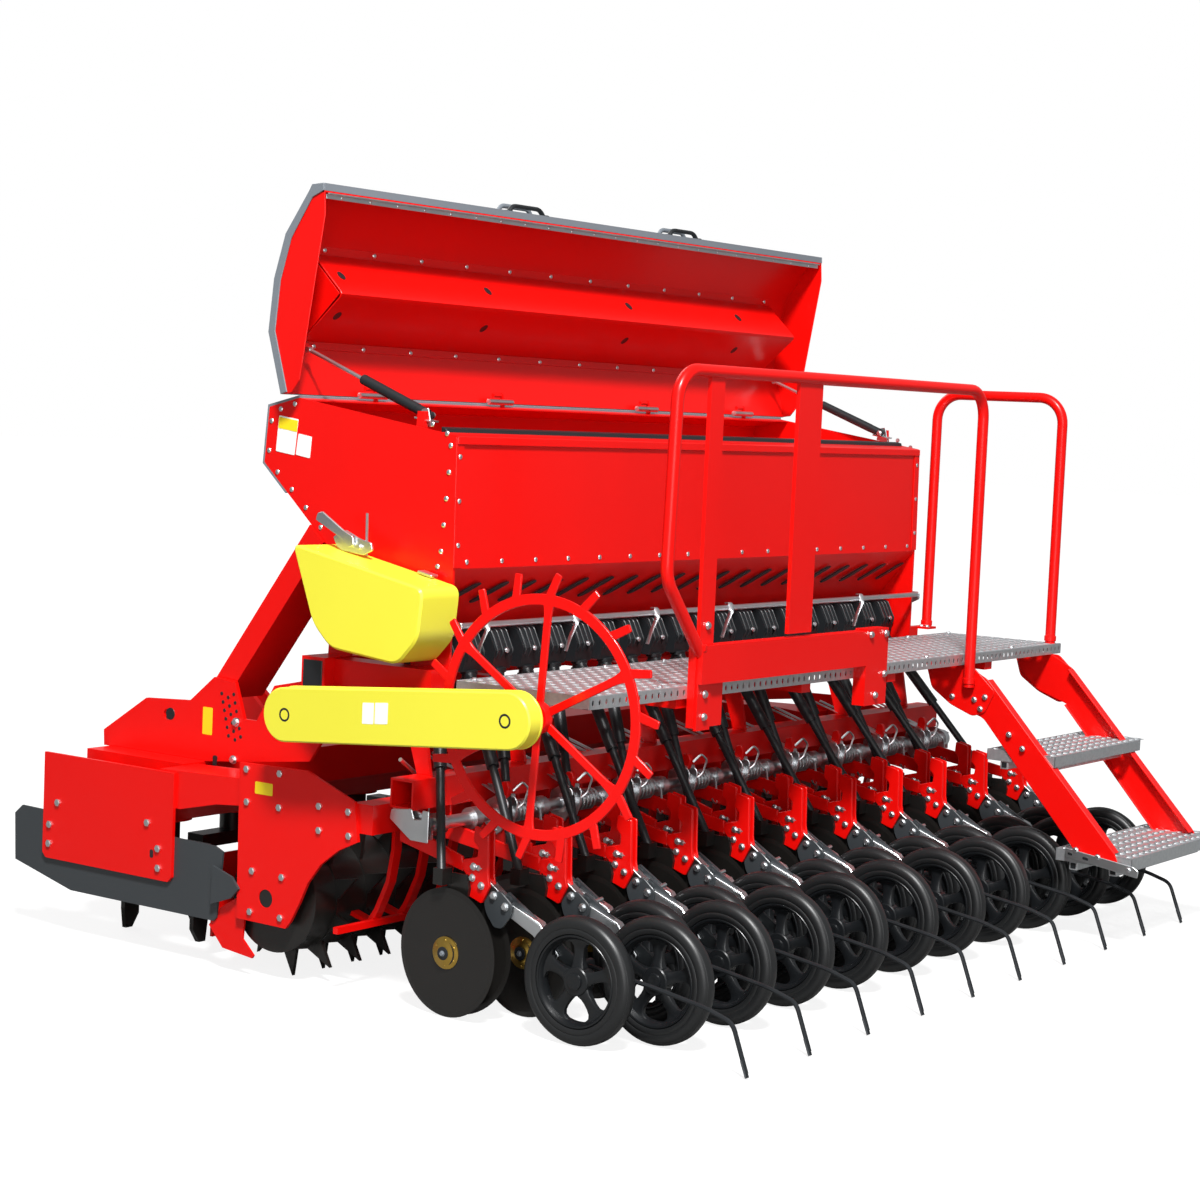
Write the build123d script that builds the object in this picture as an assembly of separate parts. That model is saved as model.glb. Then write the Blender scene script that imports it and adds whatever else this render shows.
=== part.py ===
from build123d import *

import math
import os

# Mounted seed drill carried on a power harrow with a toothed packer roller.
# While modelling: X to the machine's right, Y to the tractor, Z up, millimetres.
# y = 0 is the axle of the rear press wheels, x = 0 the middle of the machine and
# z = 0 the floor. The nodes are moved to the machine's own origin when written.

# ---------------------------------------------------------------- driving sizes
UNITS_PER_RANK = 10
UNIT_PITCH = 300.0  # between neighbours of one rank
RANK_STAGGER = 141.0  # front rank ahead of the rear rank
REAR_RANK_X = -1275.0  # first unit of the rear rank
FRONT_RANK_X = -1425.0  # first unit of the front rank
RUNNING_GAP = 0.3  # shaft in its bore

WHEEL_RADIUS = 168.0
TYRE_WIDTH = 50.0
RIM_RADIUS = 122.0
WHEEL_HUB_RADIUS = 40.0
WHEEL_AXLE_RADIUS = 12.0
SPOKES = 5

DISC_RADIUS = 172.0
DISC_THICKNESS = 4.0
DISC_AHEAD = 419.0  # disc axle ahead of the press wheel's axle
DISC_LIFT = 3.0  # rim over the floor
DISC_SPREAD = 20.0  # each disc's middle from the unit's middle plane
DISC_TOE = 5.0  # degrees, each disc turned in at the front

ARM_THICKNESS = 10.0
ARM_DEPTH = 40.0
ARM_PIVOT_Y = 735.0
ARM_PIVOT_Z = 462.0
ARM_INSET = 5.0  # arm's near face from the unit's middle plane
BOOT_X = -31.0  # seed boot, from the unit's middle plane
BOOT_Y = 440.0
BOOT_TOP = 400.0

SIDE_OUTER = 1500.0  # outer face of the side plates
SIDE_THICKNESS = 10.0
LUG_THICKNESS = 8.0
SIDE_INNER = SIDE_OUTER - SIDE_THICKNESS
CORNER = 14.0  # rounding of plate corners

COULTER_BAR_SIDE = 80.0
COULTER_BAR_Y = 740.0
COULTER_BAR_Z = 574.0
COULTER_BAR_LEFT = FRONT_RANK_X - 15.0
COULTER_BAR_RIGHT = FRONT_RANK_X + UNITS_PER_RANK * UNIT_PITCH - 75.0
TUBE_WALL = 6.0

PRESSURE_SHAFT_Y = 665.0
PRESSURE_SHAFT_Z = 497.0
PRESSURE_SHAFT_RADIUS = 17.5

ROLLER_Y = 1165.0
ROLLER_TOOTH_RADIUS = 235.0
ROLLER_DRUM_RADIUS = 155.0
ROLLER_END_GAP = 25.0  # drum's end from the side plate
ROLLER_HALF = SIDE_INNER - ROLLER_END_GAP
ROLLER_AXLE_RADIUS = 25.0
RING_PITCH = 125.0
RING_MARGIN = 60.0  # least drum left outside the last ring
RINGS = 2 * int((ROLLER_HALF - RING_MARGIN) / RING_PITCH) + 1
TEETH = 10
RING_THICKNESS = 12.0

SIDE_TO_TROUGH = 90.0
TROUGH_HALF = SIDE_INNER - SIDE_TO_TROUGH
TROUGH_REAR = 1600.0
TROUGH_FRONT = 2000.0
TROUGH_TOP = 550.0
TROUGH_BOTTOM = 370.0
ROTORS = 10
ROTOR_PITCH = 280.0
ROTOR_Y = 1800.0
TINE_CIRCLE = 145.0

HOPPER_HALF = 1293.0
TOWER_THICKNESS = 12.0
TOWER_X = HOPPER_HALF + 7.0
STRUT_WIDTH = 100.0
STRUT_X = TOWER_X - STRUT_WIDTH
STRUT_DEPTH = 70.0

FRAME_SIDE = 84.0  # square front beam of the drill
FRAME_BEAM_Y = 1110.0
FRAME_BEAM_Z = 865.0
FRAME_HALF = HOPPER_HALF + 107.0

METER_PITCH = 130.0
METER_WIDTH = 84.0
METER_Y = 795.0  # seed outlet
METER_LOW = 880.0
HOPPER_FLOOR = 1000.0
SHEET = 4.0
LID_OVERHANG = 47.0  # lid's ends outside the hopper's ends
LID_HALF = HOPPER_HALF + LID_OVERHANG
LID_HINGE_Y = 1290.0
LID_HINGE_Z = 1652.0
LID_OPEN = 88.0  # degrees from shut

DECK_TOP = 885.0
DECK_REAR = 200.0
DECK_FRONT = 640.0
DECK_LEFT = -1350.0
DECK_RIGHT = 1440.0
DECK_LIP = 35.0
DECK_BEAM_X = (256.0, 912.0)  # between the seed tubes
RAIL_RADIUS = 17.5

CASE_DEPTH = 55.0
CASE_RADIUS = 75.0
CASE_FRONT = (1022.0, 770.0)
CASE_REAR = (267.0, 834.0)
STAR_INSET = 25.0  # star wheel inside the side plates' outer faces
STAR_X = STAR_INSET - SIDE_OUTER
STAR_RING_RADIUS = 314.0
STAR_RING_WIDTH = 30.0
STAR_TIP_RADIUS = 367.0
STAR_THICKNESS = 8.0
STAR_SPIKES = 16
STAR_SPOKES = 6
STAR_TO_CASE = 80.0  # star wheel's middle to the case's inner face
CASE_INNER = STAR_TO_CASE - STAR_X
CASE_OUTER = CASE_INNER + CASE_DEPTH

HITCH_Y = 2230.0
HITCH_Z = 600.0
HITCH_SPACING = 965.0
HITCH_BORE_RADIUS = 18.6  # for category 3 lower link pins
MAST_HEIGHT = 685.0
TOP_BORE_RADIUS = 16.2  # for a category 3 top link pin
CLEVIS_GAP = 48.0
CLEVIS_CHEEK = 18.0
TOP_CLEVIS_GAP = 52.0
HITCH_FRONT = 2280.0

TINE_TAIL = -390.0  # rearmost point of the following tines
STEP_TAIL = -441.0  # rearmost point of the steps

# origin on the floor, at the middle of the outline seen from above
ORIGIN = Vector((SIDE_OUTER + LUG_THICKNESS - CASE_OUTER) / 2, (HITCH_FRONT + STEP_TAIL) / 2, 0)


# ---------------------------------------------------------------- helpers
ARC = "arc"  # marks the middle point of an arc between its neighbours


def face_of(outline):
    """Face in the (y, z) plane: straight runs, and arcs through the points marked ARC."""
    points = [(0, point[0], point[1]) for point in outline]
    edges = []
    for i, here in enumerate(outline):
        if len(here) == 3:
            continue
        after = (i + 1) % len(outline)
        if len(outline[after]) == 3:
            end = points[(i + 2) % len(outline)]
            edges.append(ThreePointArc(points[i], points[after], end))
        else:
            edges.append(Line(points[i], points[after]))
    return make_face(Wire(edges))


def plate(outline, x_from, x_to, corner=0.0):
    """Flat plate with an outline of (y, z) points between two x stations."""
    low, high = sorted((x_from, x_to))
    solid = extrude(Pos(low, 0, 0) * face_of(outline), high - low, dir=(1, 0, 0))
    if corner:
        solid = fillet(solid.edges().filter_by(Axis.X), corner)
    return solid


def rounded(outline, sizes, x_from, x_to):
    """Plate whose corners nearest to the given (y, z) points are rounded by their own sizes."""
    solid = plate(outline, x_from, x_to)
    for (y, z), size in sizes:
        edges = solid.edges().filter_by(Axis.X)
        near = min(edges, key=lambda edge: math.hypot(edge.center().Y - y, edge.center().Z - z))
        solid = fillet(near, size)
    return solid


def both_sides(shape):
    """A shape of the machine's left and its mirror image on the right."""
    return [shape, mirror(shape, about=Plane.YZ)]


def block(x_span, y_span, z_span):
    spans = (x_span, y_span, z_span)
    sizes = [high - low for low, high in spans]
    middle = [(high + low) / 2 for low, high in spans]
    return Pos(*middle) * Box(*sizes)


def bar_x(y, z, radius, x_from, x_to):
    """Round bar along X."""
    low, high = sorted((x_from, x_to))
    return extrude(Plane.YZ.offset(low) * Pos(y, z) * Circle(radius), high - low)


def rod(start, end, radius):
    """Round bar between two points."""
    run = Vector(*end) - Vector(*start)
    return extrude(Plane(origin=start, z_dir=run) * Circle(radius), run.length)


def crossing(point, run, other_point, other_run):
    """Where two lines in the (y, z) plane cross."""
    gap = (other_point[0] - point[0], other_point[1] - point[1])
    scale = (gap[0] * other_run[1] - gap[1] * other_run[0]) / (run[0] * other_run[1] - run[1] * other_run[0])
    return (point[0] + scale * run[0], point[1] + scale * run[1])


def bent_tube(points, bend, radius):
    """Round tube along straight runs joined by arcs."""
    path = FilletPolyline(*points, radius=bend)
    return sweep(Plane(origin=path @ 0, z_dir=path % 0) * Circle(radius), path=path)


def ranks():
    """(x, shift in y) of every sowing unit."""
    for i in range(UNITS_PER_RANK):
        yield REAR_RANK_X + i * UNIT_PITCH, 0.0
    for i in range(UNITS_PER_RANK):
        yield FRONT_RANK_X + i * UNIT_PITCH, RANK_STAGGER


def meter_x(unit_x):
    """Where the metering unit of a sowing unit sits: the rows fan out from the hopper."""
    return unit_x / (UNIT_PITCH / 2) * METER_PITCH


def at_units(shape):
    return [Pos(x, shift, 0) * shape for x, shift in ranks()]


# ---------------------------------------------------------------- press wheels
def press_wheel():
    half = TYRE_WIDTH / 2
    profile = [
        (-half, RIM_RADIUS),
        (-half, WHEEL_RADIUS - 16),
        (-half + 12, WHEEL_RADIUS),
        (half - 12, WHEEL_RADIUS),
        (half, WHEEL_RADIUS - 16),
        (half, RIM_RADIUS),
        (6, RIM_RADIUS - 14),
        (6, WHEEL_HUB_RADIUS),
        (half - 3, WHEEL_HUB_RADIUS - 8),
        (half - 3, WHEEL_AXLE_RADIUS + RUNNING_GAP),
        (-half + 3, WHEEL_AXLE_RADIUS + RUNNING_GAP),
        (-half + 3, WHEEL_HUB_RADIUS - 8),
        (-6, WHEEL_HUB_RADIUS),
        (-6, RIM_RADIUS - 14),
    ]
    wheel = revolve(Polygon(*profile, align=None), Axis.X)
    inner = WHEEL_HUB_RADIUS + 6
    outer = RIM_RADIUS - 18
    windows = []
    for i in range(SPOKES):
        corners = []
        for radius, spread in ((inner, -16), (outer, -26), (outer, 26), (inner, 16)):
            turn = math.radians(90 + i * 360 / SPOKES + spread)
            corners.append((radius * math.cos(turn), radius * math.sin(turn)))
        windows.append(plate(corners, -half, half))
    return Pos(0, 0, WHEEL_RADIUS) * (wheel - windows)


def wheel_arms():
    """Bright arms from the coulter to the press wheel, with the wheel's axle."""
    face = TYRE_WIDTH / 2 + 6
    thickness = 8
    outline = [(262, 352), (290, 330), (186, 262), (60, 190), (19, 148), (-19, 148)]
    outline += [(-19, 188), (30, 212), (160, 292)]
    arm = plate(outline, face, face + thickness)
    axle = bar_x(0, WHEEL_RADIUS, WHEEL_AXLE_RADIUS, face, -TYRE_WIDTH / 2 + 4)
    cap = bar_x(0, WHEEL_RADIUS, 16, -TYRE_WIDTH / 2 - 4, -TYRE_WIDTH / 2 + 4 - 4.5)
    spacer = bar_x(258, 332, 12, ARM_INSET + ARM_THICKNESS + 8, face)
    return at_units(arm + axle + spacer)


# ---------------------------------------------------------------- coulters
def coulter_arms():
    """Red brackets over the discs and their arms to the coulter bar."""
    x_from = ARM_INSET
    x_to = ARM_INSET + ARM_THICKNESS
    bar_bottom = COULTER_BAR_Z - COULTER_BAR_SIDE / 2
    shapes = []
    for x, shift in ranks():
        bracket = [(342, 517), (386, 517), (392, 452), (424, 440), (424, 398), (402, 392)]
        bracket += [(398, 348), (362, 316), (340, 346), (356, 392), (352, 440)]
        bracket = [(y + shift, z) for y, z in bracket]
        arm = [
            (410 + shift, 432),
            (ARM_PIVOT_Y - 25, ARM_PIVOT_Z + ARM_DEPTH / 2),
            (ARM_PIVOT_Y - 25, bar_bottom),
            (ARM_PIVOT_Y + 25, bar_bottom),
            (ARM_PIVOT_Y + 25, ARM_PIVOT_Z - ARM_DEPTH / 2),
            (410 + shift, 438 - ARM_DEPTH),
        ]
        shapes.append(plate(bracket, x + x_from, x + x_to) + plate(arm, x + x_from, x + x_to))
    return shapes


def coulter_discs():
    """Pairs of discs toed in at the front, with hubs, carrier and seed boot."""
    axle_z = DISC_RADIUS + DISC_LIFT
    disc = revolve(
        Polygon(
            (-DISC_THICKNESS / 2, 0),
            (-DISC_THICKNESS / 2, DISC_RADIUS - 14),
            (0, DISC_RADIUS),
            (DISC_THICKNESS / 2, DISC_RADIUS - 14),
            (DISC_THICKNESS / 2, 0),
            align=None,
        ),
        Axis.X,
    )
    hub = bar_x(0, 0, 34, -9, 0) + bar_x(0, 0, 16, -16, -9)
    left = Rot(0, 0, -DISC_TOE) * (disc + hub)
    right = mirror(left, about=Plane.YZ)
    left = Pos(-DISC_SPREAD, DISC_AHEAD, axle_z) * left
    right = Pos(DISC_SPREAD, DISC_AHEAD, axle_z) * right
    axle = bar_x(DISC_AHEAD, axle_z, 24, -DISC_SPREAD, DISC_SPREAD)
    carrier = plate(
        [(DISC_AHEAD - 26, axle_z), (DISC_AHEAD + 26, axle_z), (436, 352), (436, 386), (376, 386), (366, 352)],
        -ARM_INSET,
        ARM_INSET,
    )
    boot = block((BOOT_X - 14, -ARM_INSET), (BOOT_Y - 16, BOOT_Y + 16), (DISC_RADIUS * 2 + 12, BOOT_TOP))
    link = plate(
        [(246, 330), (290, 300), (402, 350), (396, 392), (360, 392)],
        ARM_INSET + ARM_THICKNESS,
        ARM_INSET + ARM_THICKNESS + 8,
    )
    return at_units(left + right + axle + carrier + boot) + at_units(link)


def seed_tubes():
    """Telescopic seed tubes from the metering units to the coulters' boots."""
    shapes = []
    for x, shift in ranks():
        top = Vector(meter_x(x), METER_Y, METER_LOW)
        foot = Vector(x + BOOT_X, BOOT_Y + shift, BOOT_TOP)
        run = (foot - top).normalized()
        middle = (top + foot) / 2
        tube = rod(top - run * 20, middle, 18) + rod(middle, foot + run * 14, 12)
        near = (top.Y - 60, top.Y + 60)
        tube -= block((top.X - 60, top.X + 60), near, (METER_LOW, METER_LOW + 60))
        near = (foot.Y - 60, foot.Y + 60)
        tube -= block((foot.X - 60, foot.X + 60), near, (BOOT_TOP - 60, BOOT_TOP))
        shapes.append(tube)
    return shapes


def pressure_shaft():
    """Coulter pressure shaft with its spring clamps, levers and end brackets."""
    left = COULTER_BAR_LEFT + 10
    right = COULTER_BAR_RIGHT - 10
    bar_bottom = COULTER_BAR_Z - COULTER_BAR_SIDE / 2
    shape = bar_x(PRESSURE_SHAFT_Y, PRESSURE_SHAFT_Z, PRESSURE_SHAFT_RADIUS, left, right)
    bracket = [(700, bar_bottom), (776, bar_bottom), (776, bar_bottom - 20), (690, 462), (642, 462), (642, 520)]
    ends = [plate(bracket, left, left + 8), plate(bracket, right - 8, right)]
    clamps = []
    for x, _ in ranks():
        clamps.append(bar_x(PRESSURE_SHAFT_Y, PRESSURE_SHAFT_Z, 30, x + 34, x + 62))
    return [shape + ends + clamps]


def following_tines():
    """Bent following tines, one behind each front-rank unit."""
    x = TYRE_WIDTH / 2 + 6 + 8 + 6
    path = [(x, 165, 200), (x, -60, 150), (x, -150, 90), (x, -205, 72), (x, TINE_TAIL, 9)]
    tine = bent_tube(path, 18, 6)
    return [Pos(FRONT_RANK_X + i * UNIT_PITCH, 0, 0) * tine for i in range(UNITS_PER_RANK)]


# ---------------------------------------------------------------- packer roller
def packer_roller():
    drum = bar_x(0, 0, ROLLER_DRUM_RADIUS, -ROLLER_HALF, ROLLER_HALF)
    axle = bar_x(0, 0, ROLLER_AXLE_RADIUS, -SIDE_OUTER + 2, SIDE_OUTER - 2)
    outline = []
    for i in range(TEETH):
        for turn, radius in ((0, ROLLER_DRUM_RADIUS + 4), (4, ROLLER_TOOTH_RADIUS), (20, ROLLER_DRUM_RADIUS + 4)):
            angle = math.radians(i * 360 / TEETH + turn - 94)
            outline.append((radius * math.cos(angle), radius * math.sin(angle)))
    ring = plate(outline, -RING_THICKNESS / 2, RING_THICKNESS / 2)
    first = -(RINGS - 1) / 2 * RING_PITCH
    rings = [Pos(first + i * RING_PITCH, 0, 0) * ring for i in range(RINGS)]
    return Pos(0, ROLLER_Y, ROLLER_TOOTH_RADIUS) * (drum + axle + rings)


def side_plates():
    """Roller side plates with bearings, and the arms that carry them."""
    outline = [(1280, 602), (1028, 607), (852, 543), (837, 437), (905, 405), (968, 357)]
    outline += [(1012, 300), (1040, 240), (1070, 185), (1088, 163), (1273, 164)]
    side = plate(outline, -SIDE_OUTER, -SIDE_OUTER + SIDE_THICKNESS)
    bore = bar_x(ROLLER_Y, ROLLER_TOOTH_RADIUS, ROLLER_AXLE_RADIUS + RUNNING_GAP, -SIDE_OUTER, -ROLLER_HALF)
    bearing = bar_x(ROLLER_Y, ROLLER_TOOTH_RADIUS, 60, -SIDE_OUTER + SIDE_THICKNESS, -ROLLER_HALF - 6)
    inner = -SIDE_OUTER + SIDE_THICKNESS
    arm = plate(
        [(TROUGH_REAR, 440), (TROUGH_REAR, 545), (1280, 555), (1150, 545), (1150, 490), (1374, 470), (1517, 438)],
        inner,
        inner + 150,
    )
    blade = [(1394, 124), (1339, 67), (1224, 55), (1218, 64), (1262, 104), (1254, 200), (1264, 230), (1300, 210), (1350, 180)]
    knife = plate(blade, inner + 6, inner + 12)
    knife += plate([(1262, 164), (1254, 200), (1264, 230), (1280, 222), (1280, 164)], inner, inner + 6)
    return both_sides(side + bearing + arm + knife - bore)


def scraper_bar():
    """Square beam behind the roller with a curved scraper between every two rings."""
    inner = SIDE_OUTER - SIDE_THICKNESS
    beam = block((-inner, inner), (796, 868), (460, 540))
    blade = [(852, 460), (852, 392), (868, 300), (905, 215), (930, 170), (1005, 190), (1000, 202), (942, 186)]
    blade += [(918, 222), (880, 304), (864, 394), (864, 460)]
    strip = plate(blade, -15, 15)
    rail = block((-inner, inner), (905, 922), (174, 192))
    first = -(RINGS - 2) / 2 * RING_PITCH
    strips = [Pos(first + i * RING_PITCH, 0, 0) * strip for i in range(RINGS - 1)]
    return [beam + strips + rail]


# ---------------------------------------------------------------- power harrow
def harrow_trough():
    outline = [(TROUGH_REAR, TROUGH_TOP), (TROUGH_FRONT, TROUGH_TOP), (TROUGH_FRONT, 440)]
    outline += [(1930, TROUGH_BOTTOM), (1670, TROUGH_BOTTOM), (TROUGH_REAR, 440)]
    trough = plate(outline, -TROUGH_HALF, TROUGH_HALF)
    inner = -SIDE_OUTER + SIDE_THICKNESS
    end = plate([(1533, 240), (1548, 225), (2058, 225), (2073, 240), (2073, 540), (1533, 540)], -SIDE_OUTER, inner)
    spacers = [bar_x(y, 480, 34, inner, -TROUGH_HALF) for y in (1700, 1900)]
    side = end + spacers
    bearings = []
    for i in range(ROTORS):
        x = (i - (ROTORS - 1) / 2) * ROTOR_PITCH
        bearings.append(Pos(x, ROTOR_Y, TROUGH_BOTTOM - 10) * Cylinder(75, 20))
    board = block((-1380, 1380), (1480, 1490), (60, 300))
    hangers = [plate([(1490, 200), (1490, 300), (1600, 500), (1600, 440), (1520, 200)], x, x + 12) for x in (-1000, 988)]
    return [trough + both_sides(side) + bearings + board + hangers]


def rotor(index):
    """Harrow rotor: shaft, tine holder and two blades, every other one a quarter turn on."""
    neck_top = TROUGH_BOTTOM - 20 - RUNNING_GAP
    shaft = Pos(0, 0, (neck_top + 290) / 2) * Cylinder(40, neck_top - 290)
    holder = block((-32, 32), (-TINE_CIRCLE - 14, TINE_CIRCLE + 14), (250, 290))
    blade = extrude(
        Plane.XZ.offset(-TINE_CIRCLE - 8) * Polygon((-30, 250), (30, 250), (30, 40), (4, 0), (-22, 0), (-30, 60), align=None),
        16,
        dir=(0, -1, 0),
    )
    blades = [blade, Rot(0, 0, 180) * blade]
    turn = 90.0 * (index % 2)
    x = (index - (ROTORS - 1) / 2) * ROTOR_PITCH
    return Pos(x, ROTOR_Y, 0) * Rot(0, 0, turn) * (shaft + holder + blades)


def side_deflectors():
    outer = -SIDE_OUTER + SIDE_THICKNESS
    outline = [(2176, 366), (2208, 339), (2202, 199), (1957, 139), (1372, 139), (1360, 150), (1342, 339), (1374, 352)]
    panel = plate(outline, outer, outer + 6)
    lug = plate([(1368, 190), (1364, 300), (1290, 278), (1262, 248), (1290, 218)], -SIDE_OUTER - LUG_THICKNESS, -SIDE_OUTER)
    spacer = block((-SIDE_OUTER, outer), (1350, 1364), (200, 290))
    return both_sides(panel + lug + spacer)


def tower_plates():
    """Pierced plates on the harrow's ends, with struts up to the hopper."""
    outline = [(2023, TROUGH_TOP), (2026, 597), (1849, 711), (1667, 722), (1572, 800), (1488, 794), (1450, 690)]
    outline += [(1399, 690), (1335, 798), (1221, 823), (1070, 823), (1120, 700), (1191, 597), (1388, 573)]
    outline += [(1600, TROUGH_TOP)]
    side = plate(outline, -TOWER_X - TOWER_THICKNESS, -TOWER_X)
    holes = [bar_x(1758, 671, 16, -TOWER_X - 20, -TOWER_X + 20)]
    foot = (1560.0, 760.0)
    run = (-355.0, 480.0)
    length = math.hypot(*run)
    across = (run[1] / length * STRUT_DEPTH / 2, -run[0] / length * STRUT_DEPTH / 2)
    upper = (foot[0] + across[0], foot[1] + across[1])
    lower = (foot[0] - across[0], foot[1] - across[1])
    floor = (930, HOPPER_FLOOR)
    heads = [crossing(start, run, floor, (1, HOPPER_SLOPE)) for start in (lower, upper)]
    strut = plate([upper, lower] + heads, -TOWER_X, -STRUT_X + STRUT_WIDTH / 2)
    return both_sides(side - holes + strut)


def headstock():
    """Three-point headstock: crossbeam, lower clevises, mast and braces."""
    shapes = [block((-560, 560), (TROUGH_FRONT, 2080), (440, 540))]
    clevis = [(2080, 440), (2080, 560), (2190, 650), (2262, 650), (HITCH_FRONT, 632), (HITCH_FRONT, 566), (2200, 520)]
    bores = []
    for side in (-1, 1):
        middle = side * HITCH_SPACING / 2
        for x in (middle - CLEVIS_GAP / 2 - CLEVIS_CHEEK, middle + CLEVIS_GAP / 2):
            shapes.append(plate(clevis, x, x + CLEVIS_CHEEK))
            bores.append(bar_x(HITCH_Y, HITCH_Z, HITCH_BORE_RADIUS, x, x + CLEVIS_CHEEK))
    top_z = HITCH_Z + MAST_HEIGHT
    mast = [(TROUGH_FRONT, 540), (2080, 540), (2100, 900), (2100, top_z + 30), (2040, top_z + 30)]
    mast += [(1980, 900), (1650, 600), (1650, TROUGH_TOP), (TROUGH_FRONT, TROUGH_TOP)]
    for x in (-200, 185):
        shapes.append(plate(mast, x, x + 15))
    shapes.append(block((-185, 185), (2070, 2100), (top_z - 60, top_z + 30)))
    cheek = [(2100, top_z - 60), (2190, top_z - 40), (2190, top_z + 30), (2100, top_z + 30)]
    for x in (-TOP_CLEVIS_GAP / 2 - CLEVIS_CHEEK, TOP_CLEVIS_GAP / 2):
        shapes.append(plate(cheek, x, x + CLEVIS_CHEEK))
        bores.append(bar_x(2150, top_z, TOP_BORE_RADIUS, x, x + CLEVIS_CHEEK))
    return [shapes[0] + shapes[1:] - bores]


def gearbox():
    case = block((-150, 150), (1660, 1960), (TROUGH_TOP, 840))
    case = fillet(case.edges().filter_by(Axis.Z), 40)
    stub = extrude(Plane.XZ.offset(-2100) * Pos(0, 740) * Circle(17.5), 140)
    neck = extrude(Plane.XZ.offset(-1985) * Pos(0, 740) * Circle(70), 25)
    return [case + neck + stub]


# ---------------------------------------------------------------- drill frame
def square_tube_x(y, z, side, span, wall):
    outside = block(span, (y - side / 2, y + side / 2), (z - side / 2, z + side / 2))
    core = side / 2 - wall
    return outside - block(span, (y - core, y + core), (z - core, z + core))


def drill_frame():
    beam_low = FRAME_BEAM_Z - FRAME_SIDE / 2
    beam_rear = FRAME_BEAM_Y - FRAME_SIDE / 2
    beam_half = FRAME_SIDE / 2
    beam = block(
        (-TROUGH_HALF, TROUGH_HALF),
        (beam_rear, beam_rear + FRAME_SIDE),
        (beam_low, beam_low + FRAME_SIDE),
    )
    bar_span = (COULTER_BAR_LEFT, COULTER_BAR_RIGHT)
    coulter_bar = square_tube_x(COULTER_BAR_Y, COULTER_BAR_Z, COULTER_BAR_SIDE, bar_span, TUBE_WALL)
    bar_top = COULTER_BAR_Z + COULTER_BAR_SIDE / 2
    pieces = [coulter_bar]
    carriers = [side * DECK_BEAM_X[i] for side in (-1, 1) for i in (0, 1)]
    for x in carriers:
        pieces.append(block((x - 25, x + 25), (DECK_REAR + 10, beam_rear), (beam_low, DECK_TOP - DECK_LIP)))
    for x in carriers + [-1330, 1330]:
        pieces.append(plate([(730, bar_top), (778, bar_top), (850, beam_low), (770, beam_low)], x - 5, x + 5))
    side = block((-1360, -HOPPER_HALF + 8), (720, beam_rear), (beam_low, beam_low + 80))
    leg = plate(
        [(713, beam_low), (713, 1175), (850, HOPPER_FLOOR), (850, beam_low)],
        -HOPPER_HALF,
        -HOPPER_HALF + 8,
    )
    beam_top = beam_low + FRAME_SIDE
    beam_front = beam_rear + FRAME_SIDE
    heads = [(y, HOPPER_FLOOR + (y - 930) * HOPPER_SLOPE) for y in (beam_front - 12, beam_rear)]
    front_leg = plate([(beam_rear, beam_top), (beam_front, beam_top)] + heads, -HOPPER_HALF, -HOPPER_HALF + 8)
    for shape in (side, leg, front_leg):
        pieces += both_sides(shape)
    bracket = plate([(980, 725), (1064, 725), (1150, beam_low), (beam_rear, beam_low), (980, 800)], -1400, -1388)
    boss = bar_x(*CASE_FRONT, 45, -1440, -1388)
    bore = bar_x(*CASE_FRONT, 20 + RUNNING_GAP, -1440, -1388)
    return [beam + pieces + (bracket + boss - bore)]


# ---------------------------------------------------------------- hopper
STRUT_FOOT = (851.0, 1585.0)
STRUT_LID = (1303.0, 1755.0)
STRUT_PLANE = 1250.0
STRUT_PIN_RADIUS = 5.0
STRUT_EYE_HALF = 8.0
STRUT_HEAD_RADIUS = 8.0  # rod's eye, clear of the lid's roof as the lid shuts
HOPPER_OUTLINE = [
    (719, 1534),
    (713, 1175),
    (850, HOPPER_FLOOR),
    (930, HOPPER_FLOOR),
    (1240, 1271),
    (1420, 1431),
    (1407, 1589),
    (1294, 1618),
]
HOPPER_SLOPE = (1271 - HOPPER_FLOOR) / (1240 - 930)  # front of the hopper's funnel


def hopper_shell():
    body = plate(HOPPER_OUTLINE, -HOPPER_HALF, HOPPER_HALF)
    room = offset(Polygon(*HOPPER_OUTLINE, align=None), amount=-SHEET, kind=Kind.INTERSECTION)
    inside = HOPPER_HALF - SHEET
    cavity = extrude(Plane.YZ.offset(-inside) * room, 2 * inside)
    mouth = block((-inside, inside), (775, 1262), (1500, 1700))
    shell = body - cavity - mouth
    for x in HINGE_STATIONS:
        ear = plate([(1278, 1612), (1293, 1612), (1293, LID_HINGE_Z), (1282, LID_HINGE_Z)], x + 22, x + 28)
        ear += bar_x(LID_HINGE_Y, LID_HINGE_Z, 8, x + 22, x + 28)
        shell += ear + bar_x(LID_HINGE_Y, LID_HINGE_Z, HINGE_PIN_RADIUS, x - 20, x + 22)
    for side in (-1, 1):
        foot = side * (STRUT_PLANE + 18)
        tab = plate([(836, 1530), (866, 1530), (862, 1596), (840, 1596)], foot, side * inside)
        shell += tab + bar_x(*STRUT_FOOT, STRUT_PIN_RADIUS, side * (STRUT_PLANE - 10), foot)
    return [shell]


def hopper_skin():
    """Grey skin over the hopper's front."""
    skin = [(1294, 1618), (1407, 1589), (1420, 1431), (1240, 1271), (1236, 1275), (1426, 1432), (1413, 1594)]
    outline = [(1294, 1618), (1407, 1589), (1420, 1431), (1330, 1351), (1336, 1347), (1427, 1428), (1413, 1595), (1295, 1625)]
    return [plate(outline, -HOPPER_HALF, HOPPER_HALF)]


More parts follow.
